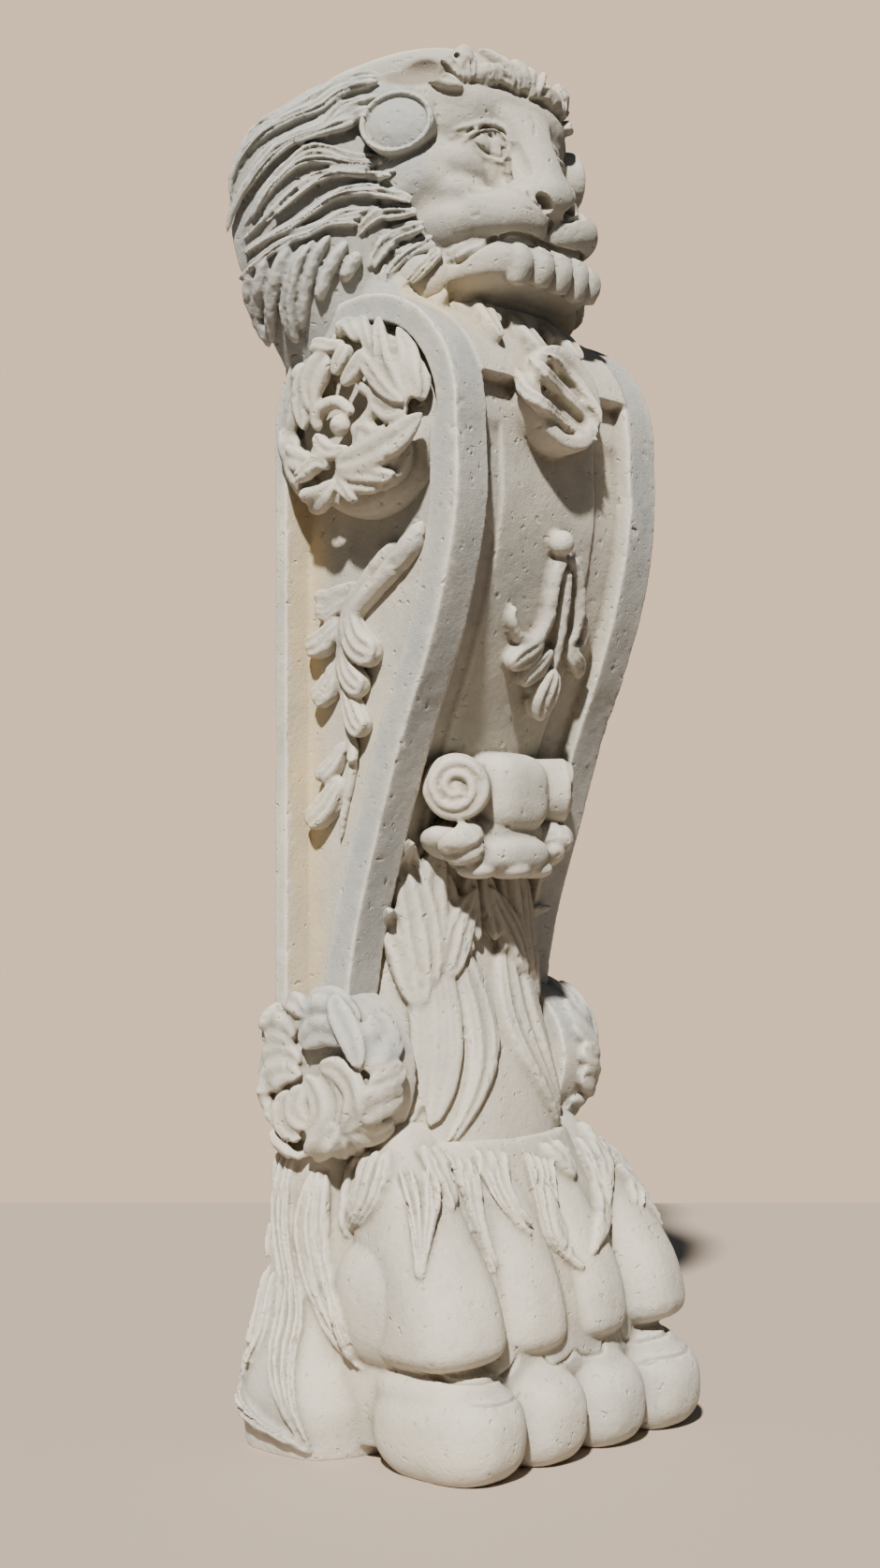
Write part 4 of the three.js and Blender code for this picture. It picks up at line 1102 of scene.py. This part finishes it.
def finish_piece(piece, stone, limit):
    """Slim the mesh, mark its hollows and stains for the stone, and give it its place in the model."""
    mesh = piece.data
    mesh.calc_loop_triangles()
    count = len(mesh.loop_triangles)
    if count > limit:
        bpy.context.view_layer.objects.active = piece
        slim = piece.modifiers.new("slim", "DECIMATE")
        slim.ratio = limit / count
        bpy.ops.object.modifier_apply(modifier=slim.name)
    mesh = piece.data
    mesh.validate()
    points = read_points(mesh)
    near, wide = relief(mesh, 3), relief(mesh, 30)
    # The hollow mark is painted shade: it darkens creases and recesses in the stone's colour. In the broken scoop it
    # is also the damp brown of the broken stone.
    hollow = np.clip(-near / 0.9, 0, 1) * 0.6 + np.clip(-wide / 5, 0, 1) * 0.9
    ridge = np.clip(near / 0.8, 0, 1) * 0.5 + np.clip(wide / 5, 0, 1) * 0.5
    lost = (((points - LOST_PIECE) / LOST_SIZE) ** 2).sum(axis=1)
    hollow += 0.8 * np.clip((1.25 - lost) / 0.2, 0, 1)
    marks = {"hollow": hollow, "ridge": ridge, "stain": warm_stain(points), "grey": grey_border(points)}
    flat_back = points[:, 1] > BACK_Y - 0.6
    for name, values in marks.items():
        values[flat_back] = 0
        layer = mesh.attributes.new(name, "FLOAT", "POINT")
        layer.data.foreach_set("value", np.clip(values, 0, 1).astype(np.float32))
    mesh.materials.clear()
    mesh.materials.append(stone)
    middles = np.empty(len(mesh.polygons) * 3)
    mesh.polygons.foreach_get("center", middles)
    mesh.polygons.foreach_set("use_smooth", middles[1::3] / MM < BACK_Y - 0.6)
    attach(piece, "root")
    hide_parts(NODE)
    mesh.calc_loop_triangles()
    print(piece.name, count, "triangles, kept", len(mesh.loop_triangles))


def warm_stain(points):
    """Where damp has left the stone yellow: behind the back stile, under the jaw and by the beard."""
    x, f, z = np.abs(points[:, 0]), BACK_Y - points[:, 1], points[:, 2]
    stile = np.clip((48 - f) / 22, 0, 1) * (x > 104) * (x < 134) * np.clip((z - 360) / 60, 0, 1) * (z < 860)
    chin = np.clip(1 - np.abs(z - 1018) / 40, 0, 1) * np.clip((f - 70) / 40, 0, 1) * np.clip((x - 55) / 20, 0, 1)
    return np.clip(stile * 0.8 + chin * 0.6 * (x < 115), 0, 1) * (0.55 + 0.7 * cloud(points, 30))


def grey_border(points):
    """Where the stone is greyer: the raised border of each cheek and the arch, partly greyed by rain and partly
    painted shade.
    """
    x, f, z = np.abs(points[:, 0]), BACK_Y - points[:, 1], points[:, 2]
    border = (front_at(z) - f < FRONT_BORDER + 1) & (z > CONSOLE_FOOT + 60) & (z < ARCH_Z + 10)
    arch = (np.hypot(f - ARCH_F, z - ARCH_Z) > ARCH_RADIUS - ARCH_BAND - 1) & (z > ARCH_Z - 40)
    return (border | arch) * np.clip((x - 98) / 6, 0, 1) * (0.55 + 0.6 * cloud(points + 50, 40))


# %% [markdown]
# ## The stone
# Cast stone is pale cream with a fine sandy grain. Rain has greyed it in slow patches, and the raised borders
# are greyer still, partly from weather and partly as painted shade. Creases and recesses are painted darker as
# shade, the broken scoop is also damp brown, and dark specks are painted shade for small air holes. The colour
# follows slow noise and the hollows marked on each mesh, and the grain is bump, because it is finer than any mesh.

# %% Cast stone material
def build_stone():
    """The casting's stone, with colour, roughness and bump from its own nodes."""
    stone = bpy.data.materials.new("cast_stone")
    stone.use_nodes = True
    nodes, links = stone.node_tree.nodes, stone.node_tree.links
    shader = nodes["Principled BSDF"]
    place = nodes.new("ShaderNodeTexCoord").outputs["Object"]

    def noise(scale, detail=4.0, roughness=0.55):
        made = nodes.new("ShaderNodeTexNoise")
        made.inputs["Scale"].default_value = scale
        made.inputs["Detail"].default_value = detail
        made.inputs["Roughness"].default_value = roughness
        links.new(place, made.inputs["Vector"])
        return made.outputs["Fac"]

    def span(value, low, high, top=1.0):
        made = nodes.new("ShaderNodeMapRange")
        made.inputs["From Min"].default_value = low
        made.inputs["From Max"].default_value = high
        made.inputs["To Max"].default_value = top
        links.new(value, made.inputs["Value"])
        return made.outputs["Result"]

    def sums(kind, one, two):
        made = nodes.new("ShaderNodeMath")
        made.operation = kind
        for socket, value in zip(made.inputs, (one, two)):
            if isinstance(value, (int, float)):
                socket.default_value = value
            else:
                links.new(value, socket)
        return made.outputs["Value"]

    def mark(name):
        made = nodes.new("ShaderNodeAttribute")
        made.attribute_name = name
        return made.outputs["Fac"]

    def tint(amount, under, over):
        made = nodes.new("ShaderNodeMix")
        made.data_type = "RGBA"
        links.new(amount, made.inputs["Factor"])
        for socket, colour in ((made.inputs[6], under), (made.inputs[7], over)):
            if isinstance(colour, tuple):
                socket.default_value = (*colour, 1)
            else:
                links.new(colour, socket)
        return made.outputs[2]

    pale = tint(span(noise(9), 0.35, 0.65), (0.47, 0.425, 0.34), (0.40, 0.37, 0.305))
    greyed = tint(span(noise(4.5), 0.42, 0.66, 0.75), pale, (0.27, 0.268, 0.245))
    # The raised borders are greyed, partly as rain weathering and partly as painted shade.
    border = tint(mark("grey"), greyed, (0.29, 0.295, 0.28))
    worn = tint(mark("ridge"), border, (0.58, 0.54, 0.455))
    # Painted shade: the hollow mark darkens creases and recesses. The broken scoop is also damp brown.
    shade_and_damp = tint(sums("MULTIPLY", mark("hollow"), 0.9), worn, (0.20, 0.17, 0.125))
    warm = tint(mark("stain"), shade_and_damp, (0.52, 0.42, 0.25))
    # Dark specks are painted shade standing for small air holes.
    specks = span(noise(420, 2.0), 0.62, 0.74, 0.35)
    speckled = tint(specks, warm, (0.22, 0.205, 0.18))
    links.new(speckled, shader.inputs["Base Color"])
    links.new(sums("ADD", sums("MULTIPLY", noise(60), 0.16), 0.8), shader.inputs["Roughness"])
    grain = sums("ADD", sums("MULTIPLY", noise(900, 3.0), 0.5), sums("MULTIPLY", noise(220, 5.0, 0.7), 1.0))
    pits = span(noise(130, 1.0), 0.68, 0.8)
    height = sums("SUBTRACT", grain, sums("MULTIPLY", pits, 1.6))
    bump = nodes.new("ShaderNodeBump")
    bump.inputs["Strength"].default_value = 0.7
    bump.inputs["Distance"].default_value = 0.0012
    links.new(height, bump.inputs["Height"])
    links.new(bump.outputs["Normal"], shader.inputs["Normal"])
    shader.inputs["Specular IOR Level"].default_value = 0.25
    return stone


stone = build_stone()

# %% [markdown]
# ## Finishing each piece
# Each piece is fused, then its fine lines are cut where the photograph shows them, then it is weathered.

# %% The face: lids, mouth, nostrils and brow
lion_face = fuse("lion_face", face + crown, voxel=1.4, smoothing=2)
chisel = Chisel(lion_face)
chisel.drawn([[494, 142], [506, 138], [522, 135], [534, 138], [541, 147]], 4.5, 4.5)
chisel.drawn([[505, 148], [514, 142], [526, 140], [535, 145], [540, 156]], 3.5, 2.0)
chisel.drawn([[506, 150], [516, 160], [527, 165], [538, 168]], 3.5, 2.0)
chisel.drawn([[538, 158], [538, 166]], 5, 3.0, taper=0)
chisel.drawn([[524, 144], [527, 145]], 5, 3.5, taper=0)
chisel.drawn([[478, 149], [488, 148], [496, 143]], 5, 2.0)
chisel.drawn([[543, 168], [542, 178], [543, 190]], 7, 3.5, taper=0.1)
chisel.drawn([[542, 185], [543, 191]], 9, 6.0, taper=0)
chisel.drawn([[476, 280], [490, 278], [506, 266], [520, 259], [532, 253]], 8, 7.0)
chisel.drawn([[532, 254], [548, 250], [566, 255], [590, 266], [612, 275], [638, 284]], 6, 5.0, taper=0.08)
chisel.drawn([[540, 257], [560, 259], [590, 272], [634, 290]], 5, -1.6)
chisel.drawn([[478, 272], [486, 266], [498, 260]], 9, -3.0)
chisel.drawn([[578, 211], [583, 215], [586, 222]], 11, 10, taper=0)
chisel.drawn([[588, 236], [588, 250], [587, 264]], 8, 5.0)
chisel.drawn([[563, 203], [568, 212], [578, 220], [587, 232]], 6, 4.0)
chisel.drawn([[548, 152], [556, 170], [566, 188]], 14, 2.5)
chisel.drawn([[566, 122], [572, 134], [570, 146]], 5, 1.2)
chisel.drawn([[500, 204], [516, 203], [532, 199]], 12, 2.5)
chisel.hollow(-90, 148, 1098, [32, 36, 34], 8)
chisel.finish()
weather(lion_face)
finish_piece(lion_face, stone, 190000)

# %% The mane and beard
lion_mane = fuse("lion_mane", head_hair, voxel=1.6, smoothing=1)
chisel = Chisel(lion_mane)
part(chisel, mane_partings)
chisel.finish()
weather(lion_mane)
finish_piece(lion_mane, stone, 195000)

# %% The console with its plate, pendant and bolster
console_body = fuse("console", console + plate + medallion + beard + pendant + bolster + lip, voxel=1.8, smoothing=1)
weather(console_body, chips=0.4)
finish_piece(console_body, stone, 165000)

# %% The rosettes and the husk drops
side_ornament = fuse("rosettes_and_husks", both(rosettes + spray), voxel=1.8, smoothing=1)
weather(side_ornament)
finish_piece(side_ornament, stone, 180000)

# %% The leg
leg_leaves = fuse("leg_leaves", leg, voxel=2.0, smoothing=1)
weather(leg_leaves)
finish_piece(leg_leaves, stone, 110000)

# %% The paw
lion_paw = fuse("lion_paw", paw, voxel=2.0, smoothing=1)
chisel = Chisel(lion_paw)
part(chisel, paw_partings)
chisel.drawn([[440, 1463], [480, 1474], [520, 1475], [545, 1462], [554, 1444]], 6, 3)
chisel.drawn([[500, 1500], [530, 1500], [550, 1493], [556, 1484]], 5, 2)
chisel.drawn([[578, 1446], [590, 1456], [604, 1453], [614, 1440]], 5, 3)
chisel.finish()
weather(lion_paw)
finish_piece(lion_paw, stone, 140000)

# %% [markdown]
# ## The floor, the light and the camera
# The casting stands on a plain pale floor. One broad light from the upper left models the carving, and a
# weak sky fills the shadows. The camera stands where the photograph was taken from.

# %% Floor
bpy.ops.object.select_all(action="DESELECT")
bpy.ops.mesh.primitive_plane_add(size=2.6, location=(0, 0, 0), rotation=(0, 0, -CAMERA_TURN))
floor = bpy.context.object
floor.name = "floor"
pale_floor = bpy.data.materials.new("pale_floor")
pale_floor.use_nodes = True
floor_shader = pale_floor.node_tree.nodes["Principled BSDF"]
floor_shader.inputs["Base Color"].default_value = (0.36, 0.29, 0.225, 1)
floor_shader.inputs["Roughness"].default_value = 0.75
floor.data.materials.append(pale_floor)

# %% Light
sky = bpy.data.worlds.new("studio_sky")
bpy.context.scene.world = sky
sky.use_nodes = True
sky_nodes, sky_links = sky.node_tree.nodes, sky.node_tree.links
fill = sky_nodes["Background"]
fill.inputs["Color"].default_value = (0.42, 0.47, 0.56, 1)
fill.inputs["Strength"].default_value = 0.22
wall = sky_nodes.new("ShaderNodeBackground")
wall.inputs["Color"].default_value = (0.86, 0.62, 0.43, 1)
wall.inputs["Strength"].default_value = 1.25
seen = sky_nodes.new("ShaderNodeLightPath").outputs["Is Camera Ray"]
either = sky_nodes.new("ShaderNodeMixShader")
sky_links.new(seen, either.inputs[0])
sky_links.new(fill.outputs[0], either.inputs[1])
sky_links.new(wall.outputs[0], either.inputs[2])
sky_links.new(either.outputs[0], sky_nodes["World Output"].inputs["Surface"])
sun_data = bpy.data.lights.new("key", "SUN")
sun_data.energy = 10.5
sun_data.angle = radians(3)
sun_data.color = (1.0, 0.965, 0.91)
sun = bpy.data.objects.new("key", sun_data)
bpy.context.collection.objects.link(sun)
SUN_FROM = (-0.84, -0.54, 1.0)
sun.rotation_euler = Vector(SUN_FROM).to_track_quat("Z", "Y").to_euler()

# %% Camera
camera_data = bpy.data.cameras.new("camera")
camera = bpy.data.objects.new("camera", camera_data)
bpy.context.collection.objects.link(camera)
camera.location = CAMERA_PLACE * MM
camera.rotation_euler = (radians(90), 0, -CAMERA_TURN)
camera_data.lens = LENS
camera_data.sensor_width = SENSOR
camera_data.shift_y = HORIZON_DROP / PHOTO_HEIGHT
bpy.context.scene.camera = camera
